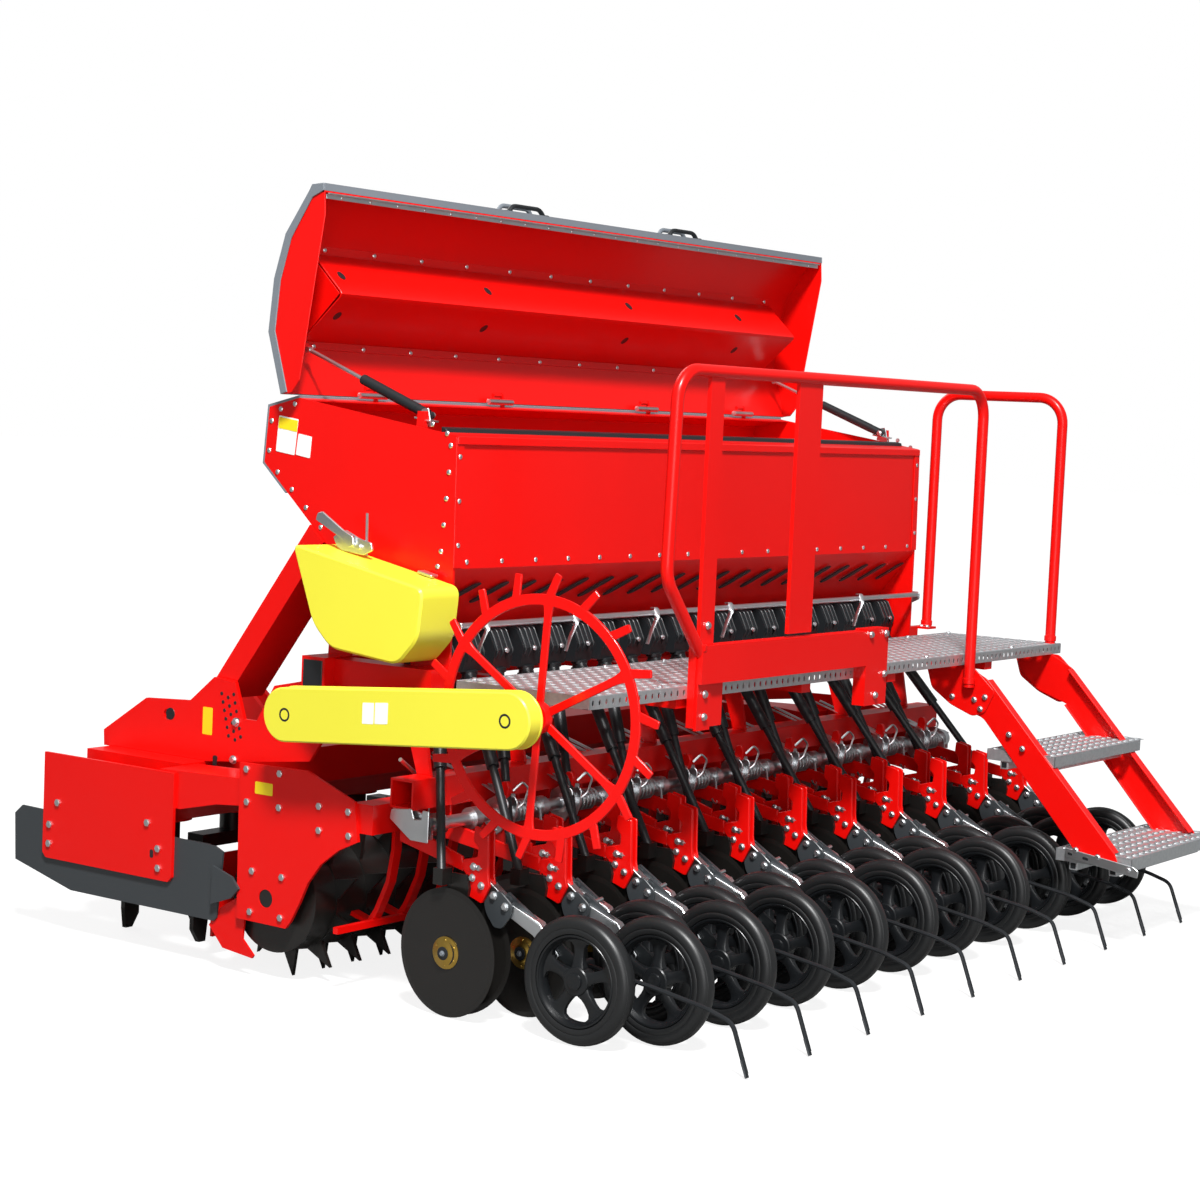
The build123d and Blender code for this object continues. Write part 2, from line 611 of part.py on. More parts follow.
def metering_units():
    outline = [(862, HOPPER_FLOOR), (918, HOPPER_FLOOR), (925, 940), (860, METER_LOW), (785, METER_LOW)]
    outline += [(772, 935), (800, 985)]
    unit = plate(outline, -METER_WIDTH / 2, METER_WIDTH / 2)
    return [Pos(meter_x(x), 0, 0) * unit for x, _ in ranks()]


GUARD_TOP = [(1141, 1221), (669, 1130)]


def guard_top(y):
    """Height of the drive guard's sloping top."""
    (front_y, front_z), (rear_y, rear_z) = GUARD_TOP
    return rear_z + (y - rear_y) * (front_z - rear_z) / (front_y - rear_y)


def metering_controls():
    """Bright control rods behind the metering units, and the rate lever."""
    inner = HOPPER_HALF - 8
    upper = bar_x(690, 1022, 8, -inner, inner)
    lower = bar_x(706, 950, 5, -inner, inner)
    lugs = [block((side * inner - 4, side * inner + 4), (680, 713), (940, 1032)) for side in (-1, 1)]
    clips = [block((x - 4, x + 4), (688, 708), (950, 1018)) for x in (-900, -450, 0, 450, 900)]
    seat = [(y, guard_top(y)) for y in (1000, 1032, 968, 990)]
    lever = plate(seat[:2] + [(1128, 1300), (1108, 1306), (1010, 1235)], -1366, -1356)
    lever += plate(seat[2:] + [(985, 1311), (975, 1311)], -1356, -1350)
    return [upper + lower + lugs + clips, lever]


def drive_guard():
    outline = GUARD_TOP + [(682, 994), (700, 950), (750, 921), (991, 945), (1058, 1008)]
    return [plate(outline, -1470, -HOPPER_HALF)]


# ---------------------------------------------------------------- lid and struts
def open_lid(shape):
    """Turns a shape drawn with the lid shut to the open position."""
    return Pos(0, LID_HINGE_Y, LID_HINGE_Z) * Rot(-LID_OPEN, 0, 0) * shape


# lid shut, (y, z) from its hinge
LID_ROOF = [(16, 12), (-168, 62), (-318, 50), (-450, 10), (-592, -70)]
LID_LIP = [(-584, -130), (-580, -130)]  # back flange, behind the hopper's rear panel
LID_ROOM = [(-586, -68), (-448, 5.5), (-317, 45.8), (-168, 57.8), (12, 8.5)]
LID_NOSE = [(12, -14), (16, -14)]  # front flange
HINGE_STATIONS = (-1000.0, -400.0, 400.0, 1000.0)
HINGE_PIN_RADIUS = 6.0
HINGE_EYE_RADIUS = 11.0


def lid():
    roof = plate(LID_ROOF + LID_LIP + LID_ROOM + LID_NOSE, -LID_HALF, LID_HALF)
    skirt = plate(LID_ROOF + LID_LIP[:1] + [(-20, -60), LID_NOSE[0], LID_NOSE[1]], -LID_HALF, -LID_HALF + SHEET)
    channel = plate([(-330, 44.7), (-300, 14), (-250, 14), (-220, 53.6)], -LID_HALF + SHEET, LID_HALF - SHEET)
    shape = roof + both_sides(skirt) + channel
    for x in HINGE_STATIONS:
        shape -= block((x + 17, x + 33), (9, 20), (-20, 8))
        shape += bar_x(0, 0, HINGE_EYE_RADIUS, x - 20, x + 20) + block((x - 16, x + 16), (6, 14), (2, 9))
        shape -= bar_x(0, 0, HINGE_PIN_RADIUS + RUNNING_GAP, x - 20, x + 20)
    skirt_face = LID_HALF - SHEET
    eye_face = STRUT_PLANE + STRUT_EYE_HALF + 0.5
    pins = [bar_x(*STRUT_LID, STRUT_PIN_RADIUS, side * skirt_face, side * eye_face) for side in (-1, 1)]
    return open_lid(shape) + pins


def strut_parts(side):
    x = side * STRUT_PLANE
    foot = Vector(x, *STRUT_FOOT)
    head = Vector(x, *STRUT_LID)
    along = (head - foot).normalized()
    eye = bar_x(*STRUT_FOOT, 11, x - STRUT_EYE_HALF, x + STRUT_EYE_HALF)
    cylinder = rod(foot + along * 6, foot + along * 262, 14) + eye
    bore = rod(foot + along * 40, foot + along * 262, 6 + RUNNING_GAP)
    head_eye = bar_x(*STRUT_LID, STRUT_HEAD_RADIUS, x - STRUT_EYE_HALF, x + STRUT_EYE_HALF)
    piston = rod(foot + along * 236, head - along * 4, 6) + head_eye
    pin_hole = bar_x(*STRUT_FOOT, STRUT_PIN_RADIUS + RUNNING_GAP, x - 10, x + 10)
    return cylinder - bore - pin_hole, piston


# ---------------------------------------------------------------- ground drive
def chain_case():
    """Stadium-shaped chain case with its pivot shaft and the wheel's bearing boss."""
    front = Vector(*CASE_FRONT)
    rear = Vector(*CASE_REAR)
    along = (rear - front).normalized()
    across = Vector(-along.Y, along.X) * CASE_RADIUS
    corners = [front + across, rear + across, rear - across, front - across]
    case = plate([(c.X, c.Y) for c in corners], -CASE_OUTER, -CASE_OUTER + CASE_DEPTH)
    for centre in (CASE_FRONT, CASE_REAR):
        case += bar_x(*centre, CASE_RADIUS, -CASE_OUTER, -CASE_OUTER + CASE_DEPTH)
    inner = -CASE_OUTER + CASE_DEPTH
    shaft = bar_x(*CASE_FRONT, 20, inner, -1392)
    boss = bar_x(*CASE_REAR, 38, inner, -1506)
    bore = bar_x(*CASE_REAR, 15 + RUNNING_GAP, inner, -1506)
    return [case + shaft + boss - bore]


def star_wheel():
    half = STAR_THICKNESS / 2
    ring = bar_x(0, 0, STAR_RING_RADIUS, -half, half)
    ring -= bar_x(0, 0, STAR_RING_RADIUS - STAR_RING_WIDTH, -half, half)
    shape = ring + bar_x(0, 0, 42, -22, half) + bar_x(0, 0, 15, -78, -22)
    for i in range(STAR_SPOKES):
        spoke = block((-half, half), (30, STAR_RING_RADIUS - 10), (-12, 12))
        shape += Rot(i * 360 / STAR_SPOKES + 8, 0, 0) * spoke
    spike = plate([(STAR_RING_RADIUS - 8, -13), (STAR_TIP_RADIUS, 22), (STAR_TIP_RADIUS - 8, 44), (STAR_RING_RADIUS - 12, 13)], -half, half)
    shape += [Rot(i * 360 / STAR_SPIKES, 0, 0) * spike for i in range(STAR_SPIKES)]
    return Pos(STAR_X, *CASE_REAR) * shape


# ---------------------------------------------------------------- deck and steps
def deck():
    sheet = block((DECK_LEFT, DECK_RIGHT), (DECK_REAR, DECK_FRONT), (DECK_TOP - 4, DECK_TOP))
    low = DECK_TOP - DECK_LIP
    rear = block((DECK_LEFT, DECK_RIGHT), (DECK_REAR, DECK_REAR + 4), (low, DECK_TOP))
    front = block((DECK_LEFT, DECK_RIGHT), (DECK_FRONT - 4, DECK_FRONT), (low, DECK_TOP))
    return [sheet + rear + front]


def deck_rails():
    loop_y = DECK_REAR - 24
    lip = DECK_TOP - DECK_LIP
    loop = bent_tube(
        [(-884, loop_y, 976), (-1060, loop_y, 1180), (-1044, loop_y, 1737), (712, loop_y, 1737), (712, loop_y, 780)],
        90,
        RAIL_RADIUS,
    )
    post = block((-894, -827), (loop_y - 6, loop_y + 6), (763, 1725))
    twin = block((-436, -309), (loop_y - 6, loop_y + 6), (1007, 1725))
    beam = block((-894, 0), (loop_y - 18, loop_y + 24), (891, 996))
    brace = plate([(DECK_REAR, lip - 80), (DECK_REAR, 996), (loop_y, 996), (loop_y, lip - 80)], -900, -760)
    end = plate([(DECK_REAR, lip - 80), (DECK_REAR, 1002), (loop_y - 18, 1002), (loop_y - 18, lip - 80)], 0, 130)
    side_x = DECK_RIGHT - 40
    side = bent_tube(
        [(side_x, 223, DECK_TOP), (side_x, 223, 1732), (side_x, 708, 1732), (side_x, 708, 903)],
        90,
        RAIL_RADIUS,
    )
    tab = block((1360, side_x + 22), (680, 745), (895, 903))
    return [loop + post + twin + beam + brace + end, side + tab]


def steps():
    top = [(200, 885 - DECK_LIP), (255, 836), (305, 756), (246, 722), (122, 685), (91, 768), (127, 817)]
    stringer = [(127, 817), (200, 850), (300, 850), (305, 756), (246, 722), (122, 685), (-358, 276), (-243, 276)]
    outline = [(200, 850), (300, 850), (305, 756), (246, 716), (140, 700), (-243, 304), (-441, 300), (-441, 262)]
    outline += [(-189, 262), (-243, 276), (91, 768), (127, 817)]
    side = [(127, 817), (200, 850), (300, 850), (305, 756), (246, 716), (150, 700), (-189, 300), (-189, 262)]
    side += [(STEP_TAIL, 262), (STEP_TAIL, 296), (-358, 300), (91, 768)]
    shapes = [plate(side, x - 5, x + 5) for x in (735, 1372)]
    shapes.append(block((740, 1367), (-410, -150), (256, 292)))
    shapes.append(block((740, 1367), (-130, 110), (548, 580)))
    return [shapes[0] + shapes[1:]]


# ---------------------------------------------------------------- writing
def nodes():
    yield "harrow_trough", harrow_trough()
    yield "headstock", headstock()
    yield "gearbox", gearbox()
    yield "tower_plates", tower_plates()
    yield "side_plates", side_plates()
    yield "side_deflectors", side_deflectors()
    yield "scraper_bar", scraper_bar()
    yield "drill_frame", drill_frame()
    yield "hopper_shell", hopper_shell()
    yield "hopper_skin", hopper_skin()
    yield "metering_units", metering_units()
    yield "metering_controls", metering_controls()
    yield "drive_guard", drive_guard()
    yield "seed_tubes", seed_tubes()
    yield "coulter_arms", coulter_arms()
    yield "coulter_discs", coulter_discs()
    yield "wheel_arms", wheel_arms()
    yield "pressure_shaft", pressure_shaft()
    yield "following_tines", following_tines()
    yield "deck", deck()
    yield "deck_rails", deck_rails()
    yield "steps", steps()
    yield "packer_roller", [packer_roller()]
    yield "lid", [lid()]
    for side, name in ((-1, "left"), (1, "right")):
        cylinder, piston = strut_parts(side)
        yield f"strut_cylinder_{name}", [cylinder]
        yield f"strut_rod_{name}", [piston]
    yield "chain_case", chain_case()
    yield "star_wheel", [star_wheel()]
    for i in range(ROTORS):
        yield f"rotor_{i + 1:02d}", [rotor(i)]
    wheel = press_wheel()
    for rank, x_first, y in (("rear", REAR_RANK_X, 0), ("front", FRONT_RANK_X, RANK_STAGGER)):
        for i in range(UNITS_PER_RANK):
            yield f"press_wheel_{rank}_{i + 1:02d}", [Pos(x_first + i * UNIT_PITCH, y, 0) * wheel]


os.makedirs("parts", exist_ok=True)
for name, shapes in nodes():
    solids = [solid for shape in shapes for solid in shape.solids()]
    body = Compound([solid.moved(Location(-ORIGIN)) for solid in solids])
    export_step(body, f"parts/{name}.step")
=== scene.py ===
import math

import bpy
import numpy as np
from mathutils import Matrix, Vector


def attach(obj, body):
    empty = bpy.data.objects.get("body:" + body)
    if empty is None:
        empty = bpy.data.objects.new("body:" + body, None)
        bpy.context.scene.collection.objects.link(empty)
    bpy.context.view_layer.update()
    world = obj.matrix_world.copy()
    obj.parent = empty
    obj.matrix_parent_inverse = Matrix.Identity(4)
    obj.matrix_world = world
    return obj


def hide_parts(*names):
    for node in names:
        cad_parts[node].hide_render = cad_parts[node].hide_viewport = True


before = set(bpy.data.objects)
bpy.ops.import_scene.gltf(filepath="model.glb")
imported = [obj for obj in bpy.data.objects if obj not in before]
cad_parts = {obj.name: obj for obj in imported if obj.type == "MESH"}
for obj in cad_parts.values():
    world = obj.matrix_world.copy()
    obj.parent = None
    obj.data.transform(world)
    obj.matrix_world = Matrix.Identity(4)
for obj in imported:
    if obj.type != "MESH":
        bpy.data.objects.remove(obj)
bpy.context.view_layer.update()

# Seed drill on a power harrow. Places below are in metres from the drill's own
# zero: the rear press wheels' axle in y, the middle of the machine in x and the
# floor in z. DRILL_ZERO carries them into the row frame.
DRILL_ZERO = np.array((0.051, -0.9195, 0.0))
MACHINE = "machine"
SIDES = ((-1, "left"), (1, "right"))


# ---------------------------------------------------------------- colours and materials
def linear(hex_colour):
    """sRGB hex colour as linear RGBA: each channel by the sRGB curve."""
    levels = np.array([int(hex_colour[i:i + 2], 16) for i in (1, 3, 5)]) / 255
    low = levels / 12.92
    high = ((levels + 0.055) / 1.055) ** 2.4
    return (*np.where(levels <= 0.04045, low, high), 1.0)


def add_node(tree, kind, settings=None, inputs=None):
    """Adds one node; an input given as a socket is linked, anything else is its value."""
    node = tree.nodes.new(kind)
    for name, value in (settings or {}).items():
        setattr(node, name, value)
    for name, value in (inputs or {}).items():
        socket = node.inputs[name]
        if isinstance(value, bpy.types.NodeSocket):
            tree.links.new(value, socket)
        else:
            socket.default_value = value
    return node


SPREAD = 0.05           # how far fine grain moves the roughness either way
GRAIN_HEIGHT = 0.0004   # metres from a grain's foot to its top
COAT_ROUGHNESS = 0.12


def material(name, colour, other, patch, roughness, metallic=0.0, coat=0.0, grain=600.0, bump=0.1,
             sheen=0.5):
    """Principled material. The colour wanders to another in patches of 1/patch metres, and fine grain of
    1/grain metres goes to bump and to a small spread of the roughness."""
    made = bpy.data.materials.new(name)
    made.use_nodes = True
    tree = made.node_tree
    tree.nodes.clear()
    place = add_node(tree, "ShaderNodeTexCoord").outputs["Object"]
    broad = add_node(tree, "ShaderNodeTexNoise", {}, {"Vector": place, "Scale": patch, "Detail": 4.0})
    fine = add_node(tree, "ShaderNodeTexNoise", {}, {"Vector": place, "Scale": grain, "Detail": 2.0})
    mix = add_node(tree, "ShaderNodeMix", {"data_type": "RGBA"}, {"Factor": broad.outputs["Fac"]})
    # sockets 6 and 7 are the mix node's two colours, output 2 its colour
    mix.inputs[6].default_value = linear(colour)
    mix.inputs[7].default_value = linear(other)
    rough = add_node(tree, "ShaderNodeMapRange", {}, {
        "Value": fine.outputs["Fac"], "To Min": roughness - SPREAD, "To Max": roughness + SPREAD})
    relief = add_node(tree, "ShaderNodeBump", {}, {
        "Height": fine.outputs["Fac"], "Strength": bump, "Distance": GRAIN_HEIGHT})
    shader = add_node(tree, "ShaderNodeBsdfPrincipled", {}, {
        "Base Color": mix.outputs[2], "Roughness": rough.outputs["Result"],
        "Normal": relief.outputs["Normal"], "Metallic": metallic, "Specular IOR Level": sheen,
        "Coat Weight": coat, "Coat Roughness": COAT_ROUGHNESS})
    out = add_node(tree, "ShaderNodeOutputMaterial")
    tree.links.new(shader.outputs["BSDF"], out.inputs["Surface"])
    return made


# Powder coat: a thick gloss film over blasted steel, with a faint orange peel of 3 mm waves.
RED = material("red_powder_coat", "#E20A06", "#D80905", 2.5, 0.32, coat=0.1, grain=330.0, bump=0.05, sheen=0.28)
YELLOW = material("yellow_powder_coat", "#E4DD40", "#DED63A", 2.5, 0.36, coat=0.1, grain=330.0,
                  bump=0.06, sheen=0.4)
GREY_PAINT = material("grey_powder_coat", "#777D84", "#6D737A", 3.0, 0.4, coat=0.2, grain=330.0, bump=0.06)
CHARCOAL = material("charcoal_powder_coat", "#383C3F", "#313538", 3.0, 0.45, coat=0.1, grain=330.0, bump=0.08)
# Baked black enamel on discs, roller and tines: low sheen, brown-black.
DARK_STEEL = material("black_enamelled_steel", "#141312", "#1A1816", 6.0, 0.34, coat=0.15)
# Moulded polypropylene: fine spark-eroded grain, soft highlights.
# The same black also stands as painted shade in holes, slots, tube ends and the hopper's mouth.
BLACK = material("moulded_polypropylene_and_painted_shade", "#17191B", "#1E2124", 9.0, 0.42, grain=700.0, bump=0.2)
RIM = material("moulded_nylon_rim", "#101213", "#15171A", 14.0, 0.33, grain=700.0, bump=0.15)
# Vulcanised rubber: matt, faint bloom that turns it grey.
TYRE = material("vulcanised_rubber", "#151617", "#1B1C1D", 10.0, 0.42, grain=420.0, bump=0.2)
# Bright zinc plate: fine crystalline sheen with duller patches of about 70 mm.
ZINC = material("bright_zinc_plate", "#EDF0F2", "#CDD1D4", 14.0, 0.36, metallic=1.0, grain=350.0)
# Hot-dip galvanised sheet: 12 mm spangle of lighter and darker crystals.
GALVANISED = material("hot_dip_galvanised", "#DFE2E4", "#B9BEC1", 85.0, 0.42, metallic=0.85, grain=300.0)
# Yellow passivated zinc on the disc hubs: pale gold.
GOLD_ZINC = material("yellow_passivated_zinc", "#D8B45C", "#C79F45", 30.0, 0.3, metallic=1.0, grain=350.0)
# Hardened spring steel: blued, dark.
SPRING_STEEL = material("spring_steel", "#25272A", "#3A3D40", 20.0, 0.36, metallic=0.6)
# Blank label film: smooth vinyl.
WHITE_FILM = material("white_vinyl_film", "#ECECE8", "#E4E4E0", 8.0, 0.45)
YELLOW_FILM = material("yellow_vinyl_film", "#F3D51A", "#EBCB12", 8.0, 0.45)

# Paint slot for each finish, unless a piece names another; piece() looks it up but does not keep it.
SLOTS = {finish.name: slot for finish, slot in (
    (RED, "red_paint"), (YELLOW, "yellow_paint"), (GREY_PAINT, "grey_paint"), (CHARCOAL, "black_paint"),
    (BLACK, "black_plastic"), (TYRE, "tyre_black"), (ZINC, "zinc"), (GALVANISED, "zinc"), (GOLD_ZINC, "zinc"),
    (SPRING_STEEL, "black_steel"), (WHITE_FILM, "red_paint"), (YELLOW_FILM, "yellow_paint"))}

# Finish of the solids that stay in sight, by node or by family of nodes.
CAD_FINISH = {
    "harrow_trough": RED, "headstock": RED, "gearbox": CHARCOAL, "tower_plates": RED, "side_plates": RED,
    "side_deflectors": CHARCOAL, "scraper_bar": RED, "drill_frame": RED, "hopper_shell": RED,
    "hopper_skin": GREY_PAINT, "metering_units": BLACK, "metering_controls": ZINC, "drive_guard": YELLOW,
    "seed_tubes": BLACK, "coulter_arms": RED, "coulter_discs": DARK_STEEL, "wheel_arms": CHARCOAL,
    "pressure_shaft": ZINC, "following_tines": SPRING_STEEL, "deck": GALVANISED, "deck_rails": RED,
    "steps": RED, "packer_roller": DARK_STEEL, "lid": RED, "chain_case": YELLOW, "star_wheel": RED,
}
FAMILY_FINISH = {"rotor": DARK_STEEL, "press_wheel": TYRE, "strut_cylinder": BLACK, "strut_rod": ZINC}
for node_name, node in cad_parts.items():
    family = [finish for start, finish in FAMILY_FINISH.items() if node_name.startswith(start)]
    node.data.materials.clear()
    node.data.materials.append(family[0] if family else CAD_FINISH[node_name])


# ---------------------------------------------------------------- surfaces
def band(rows, count, closed=True):
    """Quads between rows of count points each, wound the same way; closed joins each row's ends."""
    across = count if closed else count - 1
    i = np.repeat(np.arange(rows - 1), across)
    j = np.tile(np.arange(across), rows - 1)
    after = (j + 1) % count
    return np.column_stack((i * count + j, i * count + after, (i + 1) * count + after, (i + 1) * count + j))


def outward(points, faces):
    """Faces of one closed form, turned round if the form's signed volume is negative."""
    first = points[faces[:, 0]]
    volume = 0.0
    for k in (1, 2):
        volume += np.sum(first * np.cross(points[faces[:, k]], points[faces[:, k + 1]]))
    return faces if volume >= 0 else faces[:, ::-1]


def tube_form(rings):
    """Closed form from rings of points, shape (rows, count, 3): quads between rings, and quads over each
    end that fold the ring flat between its two halves."""
    rows, count = rings.shape[:2]
    faces = [band(rows, count)]
    half = count // 2
    k = np.arange(half - 1)
    end = np.column_stack((k, k + 1, count - 2 - k, count - 1 - k))
    faces.append(end[:, ::-1])
    faces.append(end + (rows - 1) * count)
    points = rings.reshape(-1, 3)
    faces = np.vstack(faces)
    return points, outward(points, faces)


def turned(profile, sides, axis=0, centre=(0, 0, 0), twist=0.0):
    """Surface of revolution: at each (station, radius) of the profile, a ring whose points go round the
    axis by cosine and sine of the turn. Sides is even."""
    profile = np.asarray(profile, float)
    turn = np.linspace(0, 2 * np.pi, sides, endpoint=False) + twist
    rings = np.zeros((len(profile), sides, 3))
    rings[:, :, axis] = profile[:, :1]
    rings[:, :, (axis + 1) % 3] = profile[:, 1:2] * np.cos(turn)
    rings[:, :, (axis + 2) % 3] = profile[:, 1:2] * np.sin(turn)
    return tube_form(rings + np.asarray(centre, float))


def swept(path, radius, sides=8, flat=1.0):
    """Round bar along a path: rings of the given radius square to the path's direction, carried so that
    they don't twist. flat below 1 squeezes the ring into an oval."""
    path = np.asarray(path, float)
    run = np.gradient(path, axis=0)
    run /= np.linalg.norm(run, axis=1)[:, None]
    helper = np.array((0.0, 0.0, 1.0)) if abs(run[0, 2]) < 0.8 else np.array((0.0, 1.0, 0.0))
    side = np.cross(run, helper)
    size = np.linalg.norm(side, axis=1)
    if size.min() < 0.2:
        side = np.cross(run, np.array((1.0, 0.3, 0.2)))
        size = np.linalg.norm(side, axis=1)
    side /= size[:, None]
    up = np.cross(side, run)
    turn = np.linspace(0, 2 * np.pi, sides, endpoint=False)
    rings = path[:, None] + radius * (np.cos(turn)[None, :, None] * side[:, None]
                                      + flat * np.sin(turn)[None, :, None] * up[:, None])
    return tube_form(rings)


def bent(points, bend, steps=6):
    """Path through points with each corner rounded: a quadratic curve from bend before it to bend after."""
    points = np.asarray(points, float)
    path = [points[:1]]
    t = np.linspace(0, 1, steps)[:, None]
    for before, corner, after in zip(points[:-2], points[1:-1], points[2:]):
        start = corner + (before - corner) * bend / np.linalg.norm(before - corner)
        end = corner + (after - corner) * bend / np.linalg.norm(after - corner)
        path.append((1 - t) ** 2 * start + 2 * t * (1 - t) * corner + t ** 2 * end)
    path.append(points[-1:])
    return np.vstack(path)


def spring(start, end, coil, wire, turns, sides=5, per_turn=12):
    """Coil spring: a helix of radius coil round the line from start to end, swept by the wire."""
    start = np.asarray(start, float)
    run = np.asarray(end, float) - start
    length = np.linalg.norm(run)
    run /= length
    side = np.cross(run, (0.0, 0.0, 1.0) if abs(run[2]) < 0.9 else (1.0, 0.0, 0.0))
    side /= np.linalg.norm(side)
    up = np.cross(run, side)
    t = np.linspace(0, 1, int(turns * per_turn) + 1)[:, None]
    angle = 2 * np.pi * turns * t
    path = start + run * length * t + coil * (np.cos(angle) * side + np.sin(angle) * up)
    centre = start + run * length * t
    out = (path - centre) / coil
    ahead = np.gradient(path, axis=0)
    ahead /= np.linalg.norm(ahead, axis=1)[:, None]
    across = np.cross(ahead, out)
    turn = np.linspace(0, 2 * np.pi, sides + sides % 2, endpoint=False)
    rings = path[:, None] + wire * (np.cos(turn)[None, :, None] * out[:, None]
                                    + np.sin(turn)[None, :, None] * across[:, None])
    return tube_form(rings)


def inset(outline, depth):
    """A flat outline moved inwards by depth: each corner goes along the bisector of its two edges."""
    outline = np.asarray(outline, float)
    ahead = np.roll(outline, -1, axis=0) - outline
    ahead /= np.linalg.norm(ahead, axis=1)[:, None]
    behind = np.roll(ahead, 1, axis=0)
    x, y = outline.T
    area = np.sum(x * np.roll(y, -1) - np.roll(x, -1) * y)
    normal_a = np.column_stack((-ahead[:, 1], ahead[:, 0])) * np.sign(area)
    normal_b = np.column_stack((-behind[:, 1], behind[:, 0])) * np.sign(area)
    bisector = normal_a + normal_b
    scale = depth / np.clip(np.sum(bisector * normal_a, axis=1), 0.35, None)
    return outline + bisector * scale[:, None]


SHEET_EDGE = 0.0004
FILM_EDGE = 0.0002


def plate(outline, near, far, axis=0, bevel=0.0015):
    """Flat plate: its outline's ring is carried from near to far along the axis, smaller by the bevel at
    both faces, which are one face each."""
    outline = np.asarray(outline, float)
    small = inset(outline, bevel)
    stations = (near, near + bevel, far - bevel, far)
    rings = np.zeros((4, len(outline), 3))
    for k, (station, ring) in enumerate(zip(stations, (small, outline, outline, small))):
        rings[k, :, axis] = station
        rings[k, :, (axis + 1) % 3] = ring[:, 0]
        rings[k, :, (axis + 2) % 3] = ring[:, 1]
    count = len(outline)
    points = rings.reshape(-1, 3)
    sides = band(4, count)
    x, y = outline.T
    if np.sum(x * np.roll(y, -1) - np.roll(x, -1) * y) < 0:
        sides = sides[:, ::-1]
        caps = [list(range(count)), list(range(4 * count - 1, 3 * count - 1, -1))]
    else:
        caps = [list(range(count - 1, -1, -1)), list(range(3 * count, 4 * count))]
    return points, sides, caps


def arc(centre, radius, start, end, steps=8):
    """Points of an arc between two angles in degrees."""
    turn = np.radians(np.linspace(start, end, steps))
    return np.column_stack((centre[0] + radius * np.cos(turn), centre[1] + radius * np.sin(turn)))


def soft(outline, radius, steps=5):
    """An outline with every corner rounded by the same radius, as far as its edges allow."""
    outline = np.asarray(outline, float)
    t = np.linspace(0, 1, steps)[:, None]
    before = np.roll(outline, 1, axis=0)
    after = np.roll(outline, -1, axis=0)
    out = []
    for b, c, a in zip(before, outline, after):
        cut_b = min(radius, 0.45 * np.linalg.norm(b - c))
        cut_a = min(radius, 0.45 * np.linalg.norm(a - c))
        start = c + (b - c) * cut_b / np.linalg.norm(b - c)
        end = c + (a - c) * cut_a / np.linalg.norm(a - c)
        out.append((1 - t) ** 2 * start + 2 * t * (1 - t) * c + t ** 2 * end)
    return np.vstack(out)


def joined(forms):
    """Several (points, quads[, caps]) forms as one: each form's indices go up by the points before it."""
    bases = np.cumsum([0] + [len(form[0]) for form in forms[:-1]])
    quads = [form[1] + base for form, base in zip(forms, bases)]
    caps = [[index + base for index in cap]
            for form, base in zip(forms, bases.tolist()) for cap in (form[2] if len(form) > 2 else ())]
    return np.vstack([form[0] for form in forms]), np.vstack(quads), caps


def copied(form, shifts):
    """A form repeated at each shift."""
    shifts = np.asarray(shifts, float)
    return joined([(form[0] + shift, *form[1:]) for shift in shifts])


def reflected(form, axis):
    """A form mirrored in one axis, with its faces turned round to point outwards again."""
    flip = np.where(np.arange(3) == axis, -1, 1)
    return form[0] * flip, form[1][:, ::-1]


def piece(name, forms, finish, body=MACHINE, slot=None, stands_for=(), sharp=35.0, shift=(0, 0, 0)):
    """One object from several forms, smooth up to a sharp angle, riding on a body."""
    points, quads, caps = joined(forms)
    points = points + shift
    mesh = bpy.data.meshes.new(name)
    mesh.from_pydata((points + DRILL_ZERO).tolist(), [], quads.tolist() + caps)
    mesh.update()
    mesh.polygons.foreach_set("use_smooth", np.ones(len(mesh.polygons), bool))
    mesh.set_sharp_from_angle(angle=math.radians(sharp))
    mesh.materials.append(finish)
    made = bpy.data.objects.new(name, mesh)
    bpy.context.scene.collection.objects.link(made)
    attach(made, body)
    slot or SLOTS[finish.name]
    if stands_for:
        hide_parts(*stands_for)
    return made


# Heads along +z for a unit washer radius, as rows of (height, radius, share of hexagon).
HEX_HEAD = np.array([(-0.1, 1.0, 0), (0.16, 1.0, 0), (0.18, 0.78, 1), (0.62, 0.78, 1), (0.74, 0.62, 0.4)])
DOMED_HEAD = np.array([(-0.1, 1.0, 0), (0.12, 1.0, 0), (0.38, 0.8, 0), (0.52, 0.42, 0)])


def bolt_form(radius, domed=False):
    """Hexagon head on a round washer, or a domed screw head: rings of twelve whose radius follows the
    hexagon's flats by 1 / cosine of the angle from the nearest flat."""
    turn = np.linspace(0, 2 * np.pi, 12, endpoint=False)
    flat = np.cos(np.radians(30)) / np.cos((turn % (np.pi / 3)) - np.pi / 6)
    rows = DOMED_HEAD if domed else HEX_HEAD
    ring = rows[:, 1:2] * (rows[:, 2:3] * flat / np.cos(np.radians(30)) * 0.93 + 1 - rows[:, 2:3])
    rings = np.zeros((len(rows), 12, 3))
    rings[:, :, 0] = ring * np.cos(turn)
    rings[:, :, 1] = ring * np.sin(turn)
    rings[:, :, 2] = rows[:, :1]
    return tube_form(rings * radius)


def bolts(name, places, facing, radius, body=MACHINE, finish=ZINC, domed=False):
    """Bolt heads at places, all facing one way: the unit bolt turned so that +z is facing."""
    facing = np.asarray(facing, float)
    facing /= np.linalg.norm(facing)
    helper = np.array((0.0, 0.0, 1.0)) if abs(facing[2]) < 0.9 else np.array((0.0, 1.0, 0.0))
    side = np.cross(helper, facing)
    side /= np.linalg.norm(side)
    turn = np.column_stack((side, np.cross(facing, side), facing))
    points, faces = bolt_form(radius, domed)
    return piece(name, [copied((points @ turn.T, faces), places)], finish, body)


